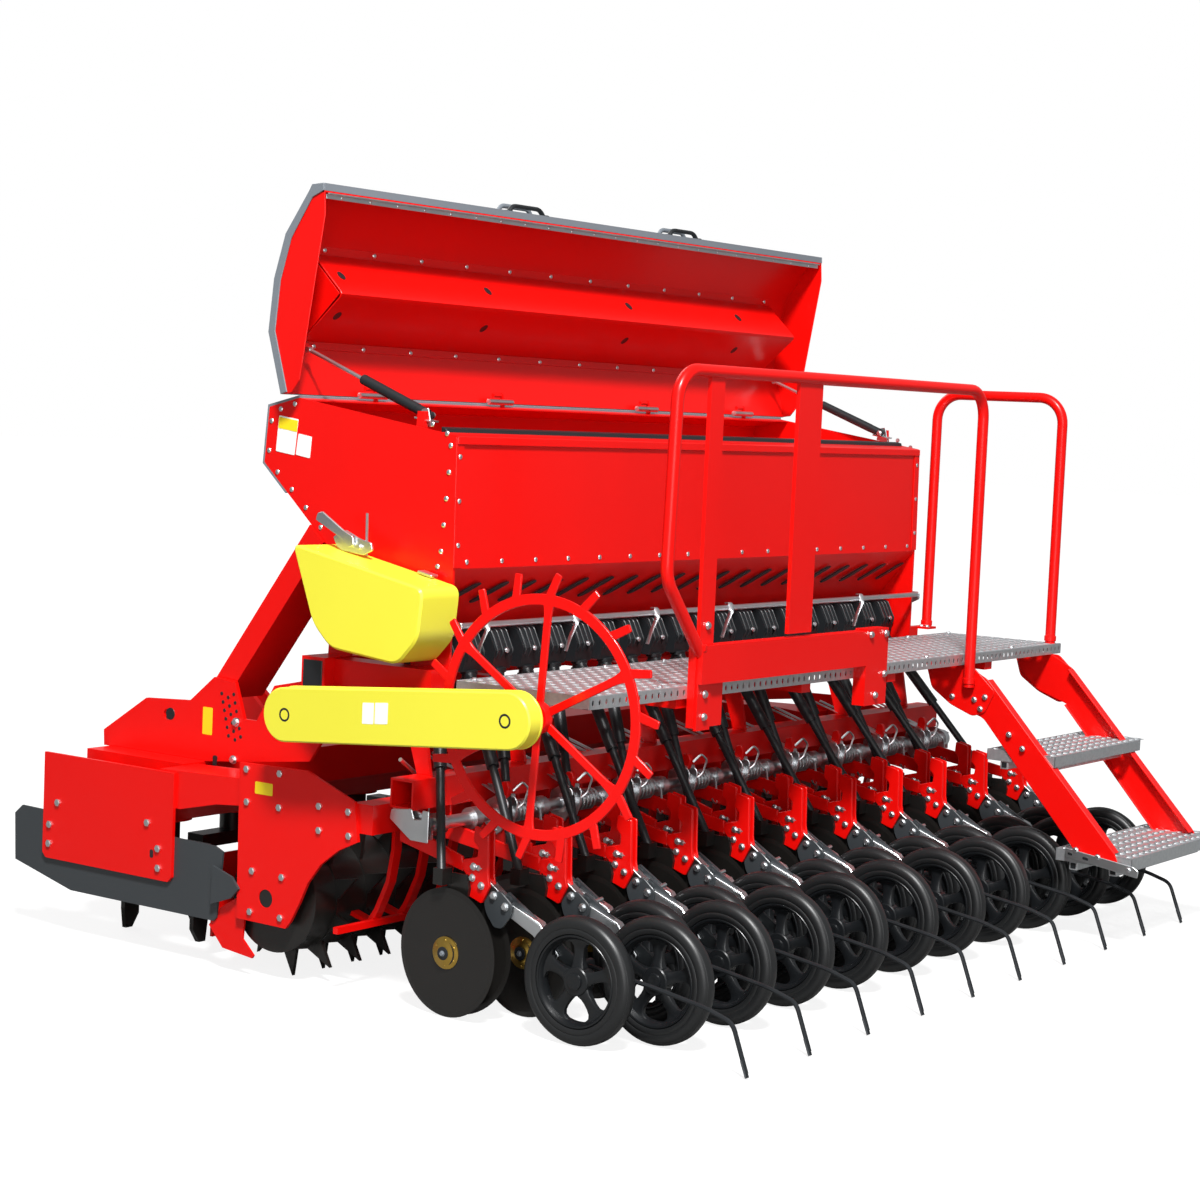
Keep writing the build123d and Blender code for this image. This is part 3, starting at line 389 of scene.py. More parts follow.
def line(start, end, count):
    """Evenly spaced places between two points, ends included."""
    return np.linspace(np.asarray(start, float), np.asarray(end, float), count)


def mirrored(places):
    """Places and their mirror images on the machine's other side."""
    places = np.asarray(places, float)
    return np.vstack((places, places * (-1, 1, 1)))


def on_side(x, pairs):
    """(y, z) pairs set on the plane at x."""
    pairs = np.asarray(pairs, float)
    return np.column_stack((np.full(len(pairs), x), pairs))


def along_x(stations):
    """Shifts along x alone."""
    return np.outer(stations, (1.0, 0.0, 0.0))


def ring_form(profile, sides, axis=0, centre=(0, 0, 0)):
    """Closed ring: a closed profile of (station, radius) points carried once round the axis."""
    profile = np.asarray(profile, float)
    turn = np.linspace(0, 2 * np.pi, sides, endpoint=False)
    count = len(profile)
    rings = np.zeros((sides, count, 3))
    rings[:, :, axis] = profile[:, 0]
    rings[:, :, (axis + 1) % 3] = np.cos(turn)[:, None] * profile[:, 1]
    rings[:, :, (axis + 2) % 3] = np.sin(turn)[:, None] * profile[:, 1]
    faces = band(sides + 1, count) % (sides * count)
    points = rings.reshape(-1, 3) + np.asarray(centre, float)
    return points, outward(points, faces)


def pierced(origin, across, along, count, pitch, hole, raised=0.002, depth=0.003):
    """Sheet of cells, each a rectangle round an oval hole with a raised lip: eight points on the cell's
    border, the lip's foot and crest at 1.35 and 1.12 times the hole's size, and the hole's lower edge."""
    across = np.asarray(across, float)
    along = np.asarray(along, float)
    normal = np.cross(across, along)
    square = np.array([(1, 0), (1, 1), (0, 1), (-1, 1), (-1, 0), (-1, -1), (0, -1), (1, -1)])
    square = square * np.array(pitch) / 2
    turn = np.arange(8) * np.pi / 4
    oval = np.column_stack((np.cos(turn), np.sin(turn))) * np.array(hole)
    rows = ((square, 0.0), (oval * 1.35, 0.0), (oval * 1.12, raised), (oval, raised * 0.6), (oval, -depth))
    cell = np.vstack([flat[:, :1] * across + flat[:, 1:] * along + height * normal for flat, height in rows])
    faces = band(5, 8)
    i = np.repeat(np.arange(count[0]), count[1]) + 0.5
    j = np.tile(np.arange(count[1]), count[0]) + 0.5
    places = np.asarray(origin) + i[:, None] * pitch[0] * across + j[:, None] * pitch[1] * along
    first = cell[faces[0]]
    up = np.dot(np.cross(first[1] - first[0], first[3] - first[0]), normal)
    return copied((cell, faces if up > 0 else faces[:, ::-1]), places)


# Twenty sowing units: every other row stands in the front rank, by the rank's gap further forward.
UNIT_PITCH = 0.3
RANK_GAP = 0.141
REAR_UNITS = along_x(-1.275 + UNIT_PITCH * np.arange(10))
FRONT_ROWS = along_x(-1.425 + UNIT_PITCH * np.arange(10))
FRONT_UNITS = FRONT_ROWS + (0, RANK_GAP, 0)
UNITS = np.vstack((REAR_UNITS, FRONT_UNITS))


# ---------------------------------------------------------------- press wheels
WHEEL_AXLE_HEIGHT = 0.168
SPOKE_COUNT = 5


def wheel_surfaces():
    """Tyre, rim, spokes, hub and hub bolts of one press wheel about its axle at the origin. The tyre and
    rim are profiles carried round; a spoke is an oval section carried from hub to rim, wider at its ends."""
    half = np.array([(0.018, 0.1205), (0.0238, 0.1225), (0.0264, 0.129), (0.0262, 0.1345), (0.0246, 0.1368),
                     (0.0262, 0.1392), (0.0268, 0.147), (0.0252, 0.1545), (0.0212, 0.1605), (0.0165, 0.1632),
                     (0.0155, 0.1628), (0.0145, 0.1645), (0.008, 0.1668)])
    tread = np.vstack((half, [(0.0, 0.1672)], half[::-1] * (-1, 1)))
    tyre = ring_form(tread, 64)
    lip = np.array([(0.021, 0.1208), (0.0236, 0.1185), (0.0228, 0.1145), (0.0185, 0.1125),
                    (0.011, 0.1072), (0.0, 0.106)])
    inner = [(-0.012, 0.1168), (0.012, 0.1168)]
    rim = ring_form(np.vstack((lip, lip[-2::-1] * (-1, 1), inner)), 64)
    radius = np.array([0.03, 0.04, 0.048, 0.06, 0.076, 0.09, 0.1, 0.105, 0.1095])[:, None]
    spread = np.radians(np.array([35.0, 30.0, 19.0, 14.0, 11.5, 11.5, 14.5, 21.0, 30.0]))[:, None]
    thick = np.array([0.015, 0.014, 0.012, 0.0095, 0.008, 0.008, 0.0085, 0.0095, 0.0105])[:, None]
    turn = np.linspace(0, 2 * np.pi, 12, endpoint=False)[None]
    share = np.sign(np.cos(turn)) * np.abs(np.cos(turn)) ** 0.45
    rise = np.sign(np.sin(turn)) * np.abs(np.sin(turn)) ** 0.45
    spokes = []
    for first in np.radians(90 + 360 / SPOKE_COUNT * np.arange(SPOKE_COUNT)):
        angle = first + share * spread
        rings = np.stack((rise * thick, radius * np.cos(angle), radius * np.sin(angle)), axis=2)
        spokes.append(tube_form(rings))
    hub = turned([(-0.0235, 0.011), (-0.0245, 0.016), (-0.023, 0.0205), (-0.0185, 0.0215), (-0.0175, 0.0355),
                  (-0.0145, 0.0378), (0.0145, 0.0378), (0.0175, 0.0355), (0.0235, 0.022), (0.0235, 0.013)], 32)
    nuts = bolt_form(0.0062)
    turn = np.array(((0, 0, -1), (0, 1, 0), (1, 0, 0)))
    places = on_side(-0.0165, arc((0, 0), 0.0292, 54, 342, SPOKE_COUNT))
    fasteners = copied((nuts[0] @ turn, nuts[1]), places)
    return tyre, [rim, hub] + spokes, fasteners


def press_wheels():
    """Twenty wheels; each stands for its CAD node and turns with it."""
    tyre, rim, fasteners = wheel_surfaces()
    forms = [tyre, joined(rim), fasteners]
    index = np.repeat(np.arange(3, dtype=np.int32), [len(form[1]) for form in forms])
    for rank, units in (("rear", REAR_UNITS), ("front", FRONT_UNITS)):
        for i, unit in enumerate(units):
            node = f"press_wheel_{rank}_{i + 1:02d}"
            made = piece(f"wheel_{rank}_{i + 1:02d}", forms, TYRE, node, stands_for=(node,),
                         shift=unit + (0, 0, WHEEL_AXLE_HEIGHT))
            made.data.materials.append(RIM)
            made.data.materials.append(ZINC)
            made.data.polygons.foreach_set("material_index", index)


# ---------------------------------------------------------------- coulters
DISC_AXLE = np.array((0.419, 0.175))


def unit_bolts(name, pattern, radius, **look):
    """Heads on the left side of every sowing unit, at each place of the pattern."""
    bolts(name, (UNITS[:, None] + pattern).reshape(-1, 3), (-1, 0, 0), radius, **look)


def coulters():
    """Bolts, disc hubs, posts, cheeks, straps and adjusters on the sowing units. Heads and hubs are rings
    carried round their own axis; the rest are plates and bars."""
    unit_bolts("coulter_bracket_bolts", on_side(0.005, [(0.36, 0.41), (0.363, 0.38), (0.332, 0.363)]), 0.0105)
    unit_bolts("wheel_link_bolts", on_side(0.0135, [(0.296, 0.341), (0.257, 0.317)]), 0.0115)
    nipple = turned([(0, 0.008), (0.004, 0.01), (0.012, 0.01), (0.014, 0.006), (0.024, 0.0045),
                     (0.026, 0.002)], 8, axis=1)
    piece("bracket_tail_screws", [copied(reflected(nipple, 1), UNITS + (0.01, 0.352, 0.408))], ZINC)
    # gold-passivated hubs with a black seal and a plain nut on each outer disc
    hub = turned([(0.002, 0.036), (0.0, 0.0435), (-0.003, 0.0435), (-0.0045, 0.0395), (-0.006, 0.0375),
                  (-0.0075, 0.03), (-0.0125, 0.0235), (-0.014, 0.0185), (-0.014, 0.004)], 28)
    hub_places = UNITS + (-0.0235, *DISC_AXLE)
    piece("disc_hubs", [copied(hub, hub_places)], GOLD_ZINC)
    seal = turned([(-0.0135, 0.005), (-0.0135, 0.018), (-0.015, 0.018), (-0.0162, 0.015), (-0.0162, 0.004)], 20)
    piece("disc_hub_seals", [copied(seal, hub_places)], BLACK)
    unit_bolts("disc_axle_nuts", on_side(-0.0388, [DISC_AXLE]), 0.008, finish=GREY_PAINT)
    unit_bolts("disc_hub_rivets", on_side(-0.0292, arc(DISC_AXLE, 0.034, 30, 330, 6)), 0.0036,
               finish=GOLD_ZINC, domed=True)
    # notched posts over the discs, and the arms that carry them from the coulter bar
    post = soft([(0.362, 0.518), (0.316, 0.508), (0.312, 0.392), (0.306, 0.363), (0.33, 0.315), (0.385, 0.333),
                 (0.384, 0.385), (0.402, 0.402), (0.398, 0.424), (0.366, 0.432), (0.35, 0.436), (0.348, 0.463),
                 (0.365, 0.478)], 0.006)
    forms = []
    for shift, rows in ((0.0, REAR_UNITS), (RANK_GAP, FRONT_ROWS)):
        arm = [(0.402 + shift, 0.43), (0.71, 0.482), (0.71, 0.536), (0.76, 0.536), (0.76, 0.442),
               (0.398 + shift, 0.392)]
        forms.append(copied(plate(arm, 0.007, 0.017), rows))
    boss = turned([(0.004, 0.01), (0.0035, 0.017), (0.016, 0.018), (0.038, 0.017)], 20,
                  centre=(0, 0.372, 0.412))
    forms.append(copied(joined([plate(post, 0.005, 0.015), plate(post, 0.031, 0.037), boss]), UNITS))
    piece("coulter_posts", forms, RED, stands_for=("coulter_arms",))
    # black cheek over each disc pair, from the bracket to the wheel's arm
    cheek = plate(soft([(0.309, 0.351), (0.274, 0.355), (0.234, 0.324), (0.24, 0.291), (0.266, 0.257),
                        (0.293, 0.256), (0.321, 0.291), (0.33, 0.318)], 0.01), 0.0135, 0.0195)
    piece("wheel_link_cheeks", [copied(cheek, UNITS)], CHARCOAL)
    # folded zinc strap along each wheel arm and its edge
    strap = plate([(0.246, 0.322), (0.15, 0.287), (0.085, 0.214), (0.098, 0.19), (0.17, 0.254), (0.25, 0.291)],
                  0.0205, 0.0245)
    fold = plate([(0.338, 0.388), (0.246, 0.325), (0.15, 0.29), (0.085, 0.217), (0.085, 0.213), (0.152, 0.286),
                  (0.247, 0.32), (0.338, 0.383)], 0.0205, 0.0465, bevel=0.0008)
    piece("wheel_arm_straps", [copied(joined([strap, fold]), UNITS)], ZINC)
    # adjuster from each front unit's wheel arm up to the next rear unit's link
    low = np.array((0.025, 0.139, 0.226))
    high = np.array((0.232, 0.139, 0.314))
    run = high - low
    screw = swept(low + np.outer((0.22, 0.5, 0.8, 1.0), run), 0.0055)
    nut = swept(low + np.outer((0.37, 0.4, 0.52, 0.55), run), 0.015)
    tee = swept(high + np.outer((-1, 0, 1), (0.05, 0, 0.006)), 0.006)
    pin = swept(low + np.outer((1, 0, -1), (0, 0.018, -0.006)), 0.0045)
    fork = [swept(low + side * np.array((0, 0.011, -0.004)) + np.outer((0.0, 0.15, 0.3), run), 0.0042, 6, 0.7)
            for side in (1, -1)]
    piece("wheel_adjusters", [copied(joined([screw, nut, tee, pin] + fork), FRONT_UNITS[:-1])], ZINC)


def following_tines():
    """Bent spring tine behind each front-rank unit: a bar swept along a path with rounded bends."""
    x = 0.035
    path = on_side(x, [(0.165, 0.205), (-0.06, 0.18), (-0.222, 0.156), (-0.304, 0.132), (-0.35, 0.014)])
    tip = on_side(x, [(-0.336, 0.045), (-0.347, 0.018), (-0.353, 0.004)])
    foot = turned([(-0.01, 0.01), (-0.008, 0.014), (0.026, 0.014), (0.028, 0.01)], 12, centre=(x, 0.15, 0.203))
    tine = joined([swept(bent(path, 0.022), 0.0062), swept(tip, 0.0085, flat=0.45), foot])
    piece("spring_tines", [copied(tine, FRONT_ROWS)], SPRING_STEEL, stands_for=("following_tines",))


STAR_AXLE = np.array((0.267, 0.834))
CASE_PIVOT = np.array((1.022, 0.77))


def star_wheel():
    """Ground wheel: a flat ring, six spokes, eighteen raked spikes and a stepped hub. Spokes and spikes are
    flat bars drawn between two radii and repeated round the axle."""
    x = -1.475
    centre = (x, *STAR_AXLE)
    near, far = x - 0.0037, x + 0.0037
    ring = ring_form([(-0.004, 0.288), (-0.003, 0.287), (0.003, 0.287), (0.004, 0.288), (0.004, 0.314),
                      (0.003, 0.315), (-0.003, 0.315), (-0.004, 0.314)], 96, centre=centre)
    hub = turned([(-0.024, 0.012), (-0.023, 0.04), (-0.02, 0.042), (0.003, 0.042), (0.004, 0.04)],
                 28, centre=centre)
    axle = turned([(-0.078, 0.013), (-0.077, 0.015), (-0.022, 0.015)], 16, centre=centre)
    forms = [ring, hub, axle]
    # half outlines as (radius, half width): the spoke flares into the ring, the spike's end is chamfered
    spoke = np.array([(0.03, 0.011), (0.07, 0.0105), (0.24, 0.0105), (0.265, 0.0115), (0.282, 0.0145),
                      (0.293, 0.02)])
    spoke = np.vstack((spoke, spoke[::-1] * (1, -1)))
    for turn in np.radians(33.5 + 60 * np.arange(6)):
        out = np.array((math.cos(turn), math.sin(turn)))
        side = np.array((-out[1], out[0]))
        forms.append(plate(STAR_AXLE + spoke[:, :1] * out + spoke[:, 1:] * side, near, far, bevel=0.001))
    for start, end in zip(arc((0, 0), 0.306, 73.3, 413.3, 18), arc((0, 0), 0.366, 77, 417, 18)):
        run = (end - start) / np.linalg.norm(end - start)
        side = np.array((-run[1], run[0]))
        spike = (start - side * 0.012, end - side * 0.0105, end - side * 0.0085 + run * 0.004,
                 end + side * 0.0085 + run * 0.004, end + side * 0.0105, start + side * 0.012)
        forms.append(plate(STAR_AXLE + spike, near, far, bevel=0.001))
    piece("star_wheel_rim", forms, RED, "star_wheel", stands_for=("star_wheel",))


SHAFT_AXIS = (0.665, 0.497)


def pressure_springs():
    """Spring clamps, coil springs, hooks and leaf levers on the pressure shaft, and its end plate. Springs
    are helices, hooks and levers are bars along bent paths."""
    stations = along_x(-1.095 + UNIT_PITCH * np.arange(9))
    cheek = soft([(0.622, 0.535), (0.655, 0.556), (0.702, 0.53), (0.708, 0.474), (0.668, 0.436), (0.64, 0.452),
                  (0.628, 0.49)], 0.012)
    forms = [plate(cheek, x, x + 0.006) for x in (-0.03, 0.012)]
    forms.append(turned([(-0.036, 0.02), (-0.034, 0.027), (0.026, 0.027), (0.03, 0.02)], 16,
                        centre=(0, *SHAFT_AXIS)))
    for radius, centre in ((0.007, (0, 0.645, 0.545)), (0.006, (0, 0.665, 0.452))):
        forms.append(turned([(-0.034, 0.004), (-0.033, radius), (0.022, radius), (0.024, 0.004)], 8,
                            centre=centre))
    coil = spring((0.028, *SHAFT_AXIS), (0.118, *SHAFT_AXIS), 0.0275, 0.0042, 5, sides=6)
    hook = bent([(0.115, 0.64, 0.508), (0.128, 0.632, 0.5), (0.134, 0.628, 0.452), (0.13, 0.62, 0.428),
                 (0.112, 0.618, 0.424), (0.1, 0.622, 0.44)], 0.008, 4)
    tail = bent([(0.03, 0.64, 0.508), (0.045, 0.625, 0.525), (0.055, 0.618, 0.565), (0.035, 0.625, 0.585),
                 (0.012, 0.64, 0.56)], 0.008, 4)
    forms += [coil, swept(hook, 0.0036, 6), swept(tail, 0.0036, 6)]
    for x, lean in ((-0.018, -0.1), (0.006, -0.085)):
        leaf = bent([(x + lean * 1.1, 0.85, 0.652), (x + lean * 0.6, 0.765, 0.612),
                     (x + lean * 0.1, 0.69, 0.566), (x, 0.64, 0.545)], 0.02, 5)
        forms.append(swept(leaf, 0.0165, 8, 0.2))
    piece("pressure_spring_clamps", [copied(joined(forms), stations)], ZINC)
    tab = plate(soft([(0.636, 0.54), (0.63, 0.572), (0.64, 0.59), (0.658, 0.586), (0.664, 0.548)], 0.006),
                -0.02, -0.004)
    piece("spring_clamp_tabs", [copied(tab, stations)], RED)
    # notched bright plate at the shaft's left end
    end = plate(soft([(0.64, 0.54), (0.662, 0.54), (0.664, 0.515), (0.69, 0.512), (0.7, 0.54), (0.77, 0.53),
                      (0.775, 0.505), (0.7, 0.455), (0.64, 0.455)], 0.004), -1.446, -1.441)
    piece("shaft_end_plate", [end], ZINC)
    # long bright link rods in front of the shaft
    rods = [swept([(-1.38, 0.8, 0.655), (-1.28, 0.82, 0.6), (-1.17, 0.84, 0.55)], 0.006),
            swept([(-1.255, 0.8, 0.6), (-1.255, 0.8, 0.52), (-1.255, 0.8, 0.44)], 0.006)]
    piece("link_rods", rods, ZINC)


# ---------------------------------------------------------------- hopper
HOPPER_HALF = 1.293


def hopper():
    """Screws along the hopper's seams, folded rear corners, blank label films and strut brackets. All but
    the screws are plates."""
    end = [(0.805, 1.562), (0.752, 1.539), (0.738, 1.507), (1.31, 1.6), (1.363, 1.584), (1.397, 1.549),
           (1.403, 1.465), (1.368, 1.405), (1.311, 1.358), (1.255, 1.31), (1.197, 1.258), (0.768, 1.178)]
    end = np.vstack((end, line((0.741, 1.435), (0.758, 1.22), 4)))
    for side, name in SIDES:
        bolts(f"hopper_end_screws_{name}", on_side(side * HOPPER_HALF, end), (side, 0, 0), 0.0075, domed=True)
    corner = [(0.715, 1.532), (0.7092, 1.178), (0.7125, 1.178), (0.7185, 1.532)]
    strips = [plate(corner, -1.296, -1.262, bevel=0.001), plate(corner, 1.262, 1.296, bevel=0.001)]
    piece("hopper_corner_strips", strips, RED)
    seam = mirrored(line((-1.279, 0.7145, 1.478), (-1.279, 0.7106, 1.239), 3))
    bolts("hopper_corner_screws", seam, (0, -1, 0), 0.0072, domed=True)
    bolts("hopper_rear_screws", line((-1.235, 0.7135, 1.193), (1.235, 0.7135, 1.193), 17), (0, -1, 0),
          0.0072, domed=True)
    lip = plate([(0.7185, 1.534), (0.712, 1.531), (0.7115, 1.512), (0.718, 1.51)], -HOPPER_HALF, HOPPER_HALF)
    piece("hopper_rear_lip", [lip], RED)
    # black strip along the hopper's rear rim: painted shade of the dark gap into the hopper
    seal = plate([(0.772, 1.54), (0.776, 1.552), (0.792, 1.556), (0.792, 1.536)], -1.27, 1.27)
    piece("hopper_mouth_painted_shade", [seal], BLACK)
    film = [plate(soft(outline, 0.004), -1.2942, -1.2925, bevel=SHEET_EDGE)
            for outline in ([(1.294, 1.557), (1.368, 1.566), (1.377, 1.464), (1.305, 1.455)],
                            [(1.241, 1.51), (1.292, 1.517), (1.3, 1.457), (1.246, 1.449)])]
    piece("hopper_label_blanks", film, WHITE_FILM)
    band_film = plate([(1.295, 1.553), (1.367, 1.562), (1.3695, 1.53), (1.2975, 1.521)], -1.2948, -1.2938,
                      bevel=FILM_EDGE)
    piece("hopper_label_band", [band_film], YELLOW_FILM, slot="red_paint")
    bracket = soft([(0.828, 1.552), (0.876, 1.56), (0.866, 1.602), (0.842, 1.606)], 0.005)
    foot = [(0.822, 1.566), (0.882, 1.575), (0.881, 1.58), (0.821, 1.571)]
    forms = []
    for side, _ in SIDES:
        forms.append(plate(bracket, side * 1.2665 - 0.002, side * 1.2665 + 0.002))
        forms.append(plate(foot, side * 1.263 - 0.018, side * 1.263 + 0.018))
    piece("strut_foot_brackets", forms, ZINC)


def metering():
    """Ribbed metering housings, hose collars, bright clips on the control rod, painted shade of the floor
    slots, and slides. Housings and slides are plates, collars are turned, the rod and its clips are bars."""
    centre = along_x(np.linspace(-1.235, 1.235, 20))
    body = plate(soft([(0.772, 0.935), (0.8, 0.988), (0.856, 0.996), (0.862, 0.962), (0.85, 0.925),
                       (0.792, 0.892)], 0.012), -0.03, 0.03, bevel=0.004)
    ribs = [plate(soft([(0.766, 0.93), (0.796, 0.992), (0.862, 1.0), (0.866, 0.96), (0.852, 0.921),
                        (0.79, 0.886)], 0.01), x, x + 0.004) for x in (-0.036, -0.012, 0.01, 0.032)]
    piece("metering_housings", [copied(joined([body] + ribs), centre)], BLACK)
    bolts("metering_screws", centre + (0.0, 0.766, 0.934), (0, -0.86, 0.5), 0.008)
    collar = turned([(0, 0.02), (0.002, 0.025), (0.012, 0.025), (0.014, 0.02), (0.024, 0.02), (0.026, 0.024),
                     (0.034, 0.024), (0.036, 0.018)], 16, axis=2)
    piece("hose_collars", [copied(reflected(collar, 2), centre + (0, 0.795, 0.884))], BLACK)
    clip = bent([(0.0, 0.7, 1.036), (0.0, 0.682, 1.038), (-0.004, 0.676, 1.01), (-0.024, 0.682, 0.968),
                 (-0.036, 0.686, 0.93)], 0.006, 4)
    clip = swept(clip, 0.009, 8, 0.25)
    piece("row_shutoff_clips", [copied(clip, along_x(-1.177 + 0.41 * np.arange(6)))], ZINC)
    rod = swept([(-1.286, 0.69, 1.022), (0.0, 0.69, 1.022), (1.286, 0.69, 1.022)], 0.0085, 12)
    lugs = [plate(soft([(0.68, 1.006), (0.68, 1.032), (0.713, 1.032), (0.713, 0.99)], 0.005), x, x + 0.004)
            for x in (-1.289, 1.285)]
    piece("shutoff_rod", [rod] + lugs, ZINC, stands_for=("metering_controls",))
    # painted shade of the slots in the hopper's sloping floor: thin black long rounds, sheared sideways, laid
    # down the slope
    chute = np.vstack((arc((0, 0.022), 0.014, 0, 180, 6), arc((0, -0.022), 0.014, 180, 360, 6)))
    ring = np.zeros((2, 12, 3))
    ring[:, :, 0] = chute[:, 0] + chute[:, 1] * 1.6
    floor_run = np.array((0.115, -0.16)) / np.linalg.norm((0.115, -0.16))
    ring[0, :, 1:] = np.array((0.7564, 1.1013)) - chute[:, 1:] * floor_run
    ring[1, :, 1:] = ring[0, :, 1:] + (0.004, 0.003)
    piece("floor_slot_painted_shade", [copied(tube_form(ring), along_x(np.linspace(-1.2, 1.2, 20)))], BLACK)
    levers = plate(soft([(0.905, 1.022), (0.985, 1.082), (0.996, 1.072), (0.93, 1.01)], 0.006), -0.009, 0.009)
    piece("seed_slides", [copied(levers, centre)], BLACK)
    bolts("seed_slide_screws", centre + (0.022, 0.93, 1.03), (0, -0.7, 0.7), 0.006, domed=True)


# ---------------------------------------------------------------- lid
LID_HINGE = np.array((1.275, 1.632))
LID_OPEN = math.radians(94.0)
LID_HALF = 1.34
LID_ROOF = np.array([(0.002, 0.039), (-0.174, 0.081), (-0.32, 0.056), (-0.44, 0.01), (-0.551, -0.081)])


def opened(flat):
    """(y, z) of lid points given with the lid shut and measured from its hinge."""
    flat = np.asarray(flat, float)
    c, s = math.cos(LID_OPEN), math.sin(LID_OPEN)
    return LID_HINGE + np.column_stack((c * flat[:, 0] + s * flat[:, 1], -s * flat[:, 0] + c * flat[:, 1]))


def lid_plate(flat, near, far, bevel=0.001):
    """Plate whose outline is given with the lid shut."""
    return plate(opened(flat), near, far, bevel=bevel)


def inset_line(points, depth):
    """An open line moved sideways by depth: each inner point goes along the bisector of its two edges."""
    points = np.asarray(points, float)
    ahead = np.diff(points, axis=0)
    ahead /= np.linalg.norm(ahead, axis=1)[:, None]
    normal = np.column_stack((-ahead[:, 1], ahead[:, 0]))
    at = np.vstack((normal[:1], normal[:-1] + normal[1:], normal[-1:]))
    scale = np.ones(len(at))
    scale[1:-1] = 1 / np.clip(np.sum(at[1:-1] * normal[:-1], axis=1), 0.3, None)
    return points + at * scale[:, None] * depth


def lid():
    """Folded red shell with skirts and stiffening fold, grey outer skin, seal strip, handles and screws.
    Sheets are plates whose outline is drawn with the lid shut and then turned open; handles are bars."""
    half, roof, fold_half = LID_HALF, LID_ROOF, 1.222
    under = inset_line(roof, 0.004)
    lip = [(-0.551, -0.131), (-0.547, -0.131)]
    shell = lid_plate(np.vstack((roof, lip, under[::-1])), -half, half, 0.0006)
    skirt = np.vstack((roof, lip[:1], [(-0.486, -0.131), (-0.034, -0.024), (0.0, 0.008)]))
    ends = [lid_plate(skirt, -half, -half + 0.004), lid_plate(skirt, half - 0.004, half)]
    ridge = [(-0.4, 0.025), (-0.288, -0.078), (-0.278, -0.083), (-0.269, -0.078), (-0.15, 0.075),
             (-0.154, 0.075), (-0.27, -0.073), (-0.278, -0.077), (-0.286, -0.073), (-0.395, 0.026)]
    feet = ([(-0.42, 0.016), (-0.398, 0.0245), (-0.397, 0.0215), (-0.419, 0.013)],
            [(-0.152, 0.0725), (-0.13, 0.0665), (-0.131, 0.0635), (-0.153, 0.0695)])
    fold = [lid_plate(outline, -fold_half, fold_half, 0.0005) for outline in (ridge, *feet)]
    closer = [(-0.385, 0.022), (-0.279, -0.074), (-0.16, 0.07)]
    fold += [lid_plate(closer, x, x + 0.003, 0.0005) for x in (-fold_half, fold_half - 0.003)]
    piece("lid_shell", [shell] + fold + ends, RED, "lid", stands_for=("lid",), sharp=20)
    # grey skin outside the shell, folded round its ends and proud of its rear edge
    over = inset_line(roof, -0.006)
    outer = np.vstack((over, [(-0.572, -0.088), (-0.572, -0.131)]))
    skin = np.vstack((outer, [(-0.5515, -0.131), (-0.5515, -0.081)], roof[-2::-1] + (0, 0.0005)))
    inner = inset_line(roof, 0.019)
    edge = np.vstack((outer, [(-0.552, -0.131), (-0.536, -0.088)], inner[-2::-1]))
    rim = [lid_plate(edge, x, x + 0.004) for x in (-half - 0.0045, half + 0.0005)]
    piece("lid_skin", [lid_plate(skin, -half + 0.0005, half - 0.0005)] + rim, GREY_PAINT, "lid", sharp=20)
    strip = lid_plate([(-0.5465, -0.133), (-0.5465, -0.121), (-0.531, -0.121), (-0.531, -0.124),
                       (-0.543, -0.124), (-0.543, -0.133)], -1.325, 1.325, 0.0004)
    piece("lid_seal_strip", [strip], ZINC, "lid")
    inward = opened([(0, -1)])[0] - opened([(0, 0)])[0]
    facing = (0, *inward)
    for name, place, reach, count, radius in (("strip_screws", (-0.537, -0.124), 1.26, 22, 0.005),
                                              ("fold_screws_upper", (-0.41, 0.0165), 1.18, 12, 0.0075),
                                              ("fold_screws_lower", (-0.139, 0.065), 1.18, 12, 0.0075)):
        y, z = opened([place])[0]
        bolts(f"lid_{name}", line((-reach, y, z), (reach, y, z), count), facing, radius, "lid", domed=True)
    # painted shade of the drained slots in both faces of the fold: thin black ovals laid on the sheet
    slots = []
    turn = np.linspace(0, 2 * np.pi, 16, endpoint=False)
    for ends_of_slot in ([(-0.352, -0.0203), (-0.318, -0.0515)], [(-0.236, -0.0355), (-0.208, 0.0005)]):
        start, end = opened(ends_of_slot)
        along = (end - start) / 2
        slope = np.array((along[1], -along[0])) / np.linalg.norm(along)
        slope *= -np.sign(slope[0])
        rings = np.zeros((2, 16, 3))
        rings[:, :, 0] = 0.013 * np.cos(turn)
        for ring, rise in zip(rings, (-0.002, 0.0008)):
            ring[:, 1:] = start + along + np.outer(np.sin(turn) * 0.7, along) + slope * rise
        slots.append(copied(tube_form(rings), along_x((-1.17, -0.5, 0.25, 0.92))))
    piece("lid_fold_slot_painted_shade", slots, BLACK, "lid")
    # black grips in front and grey ones behind
    for name, finish, b, reach, size in (("grips", BLACK, -0.105, -0.5935, 0.0085),
                                         ("grip_guards", GREY_PAINT, -0.06, -0.598, 0.0075)):
        forms = []
        for left, right in ((-0.484, -0.3), (0.386, 0.56)):
            (y0, z0), (y1, z1), foot_at = opened([(-0.566, b), (reach, b), (-0.574, b)])
            path = bent([(left, y0, z0), (left + 0.022, y1, z1), (right - 0.022, y1, z1),
                         (right, y0, z0)], 0.018, 5)
            forms.append(swept(path, size, 10, 0.8))
            for x in (left, right):
                forms.append(turned([(-0.004, 0.012), (-0.003, 0.015), (0.003, 0.015), (0.004, 0.012)], 12,
                                    axis=2, centre=(x, *foot_at)))
        piece(f"lid_{name}", forms, finish, "lid")
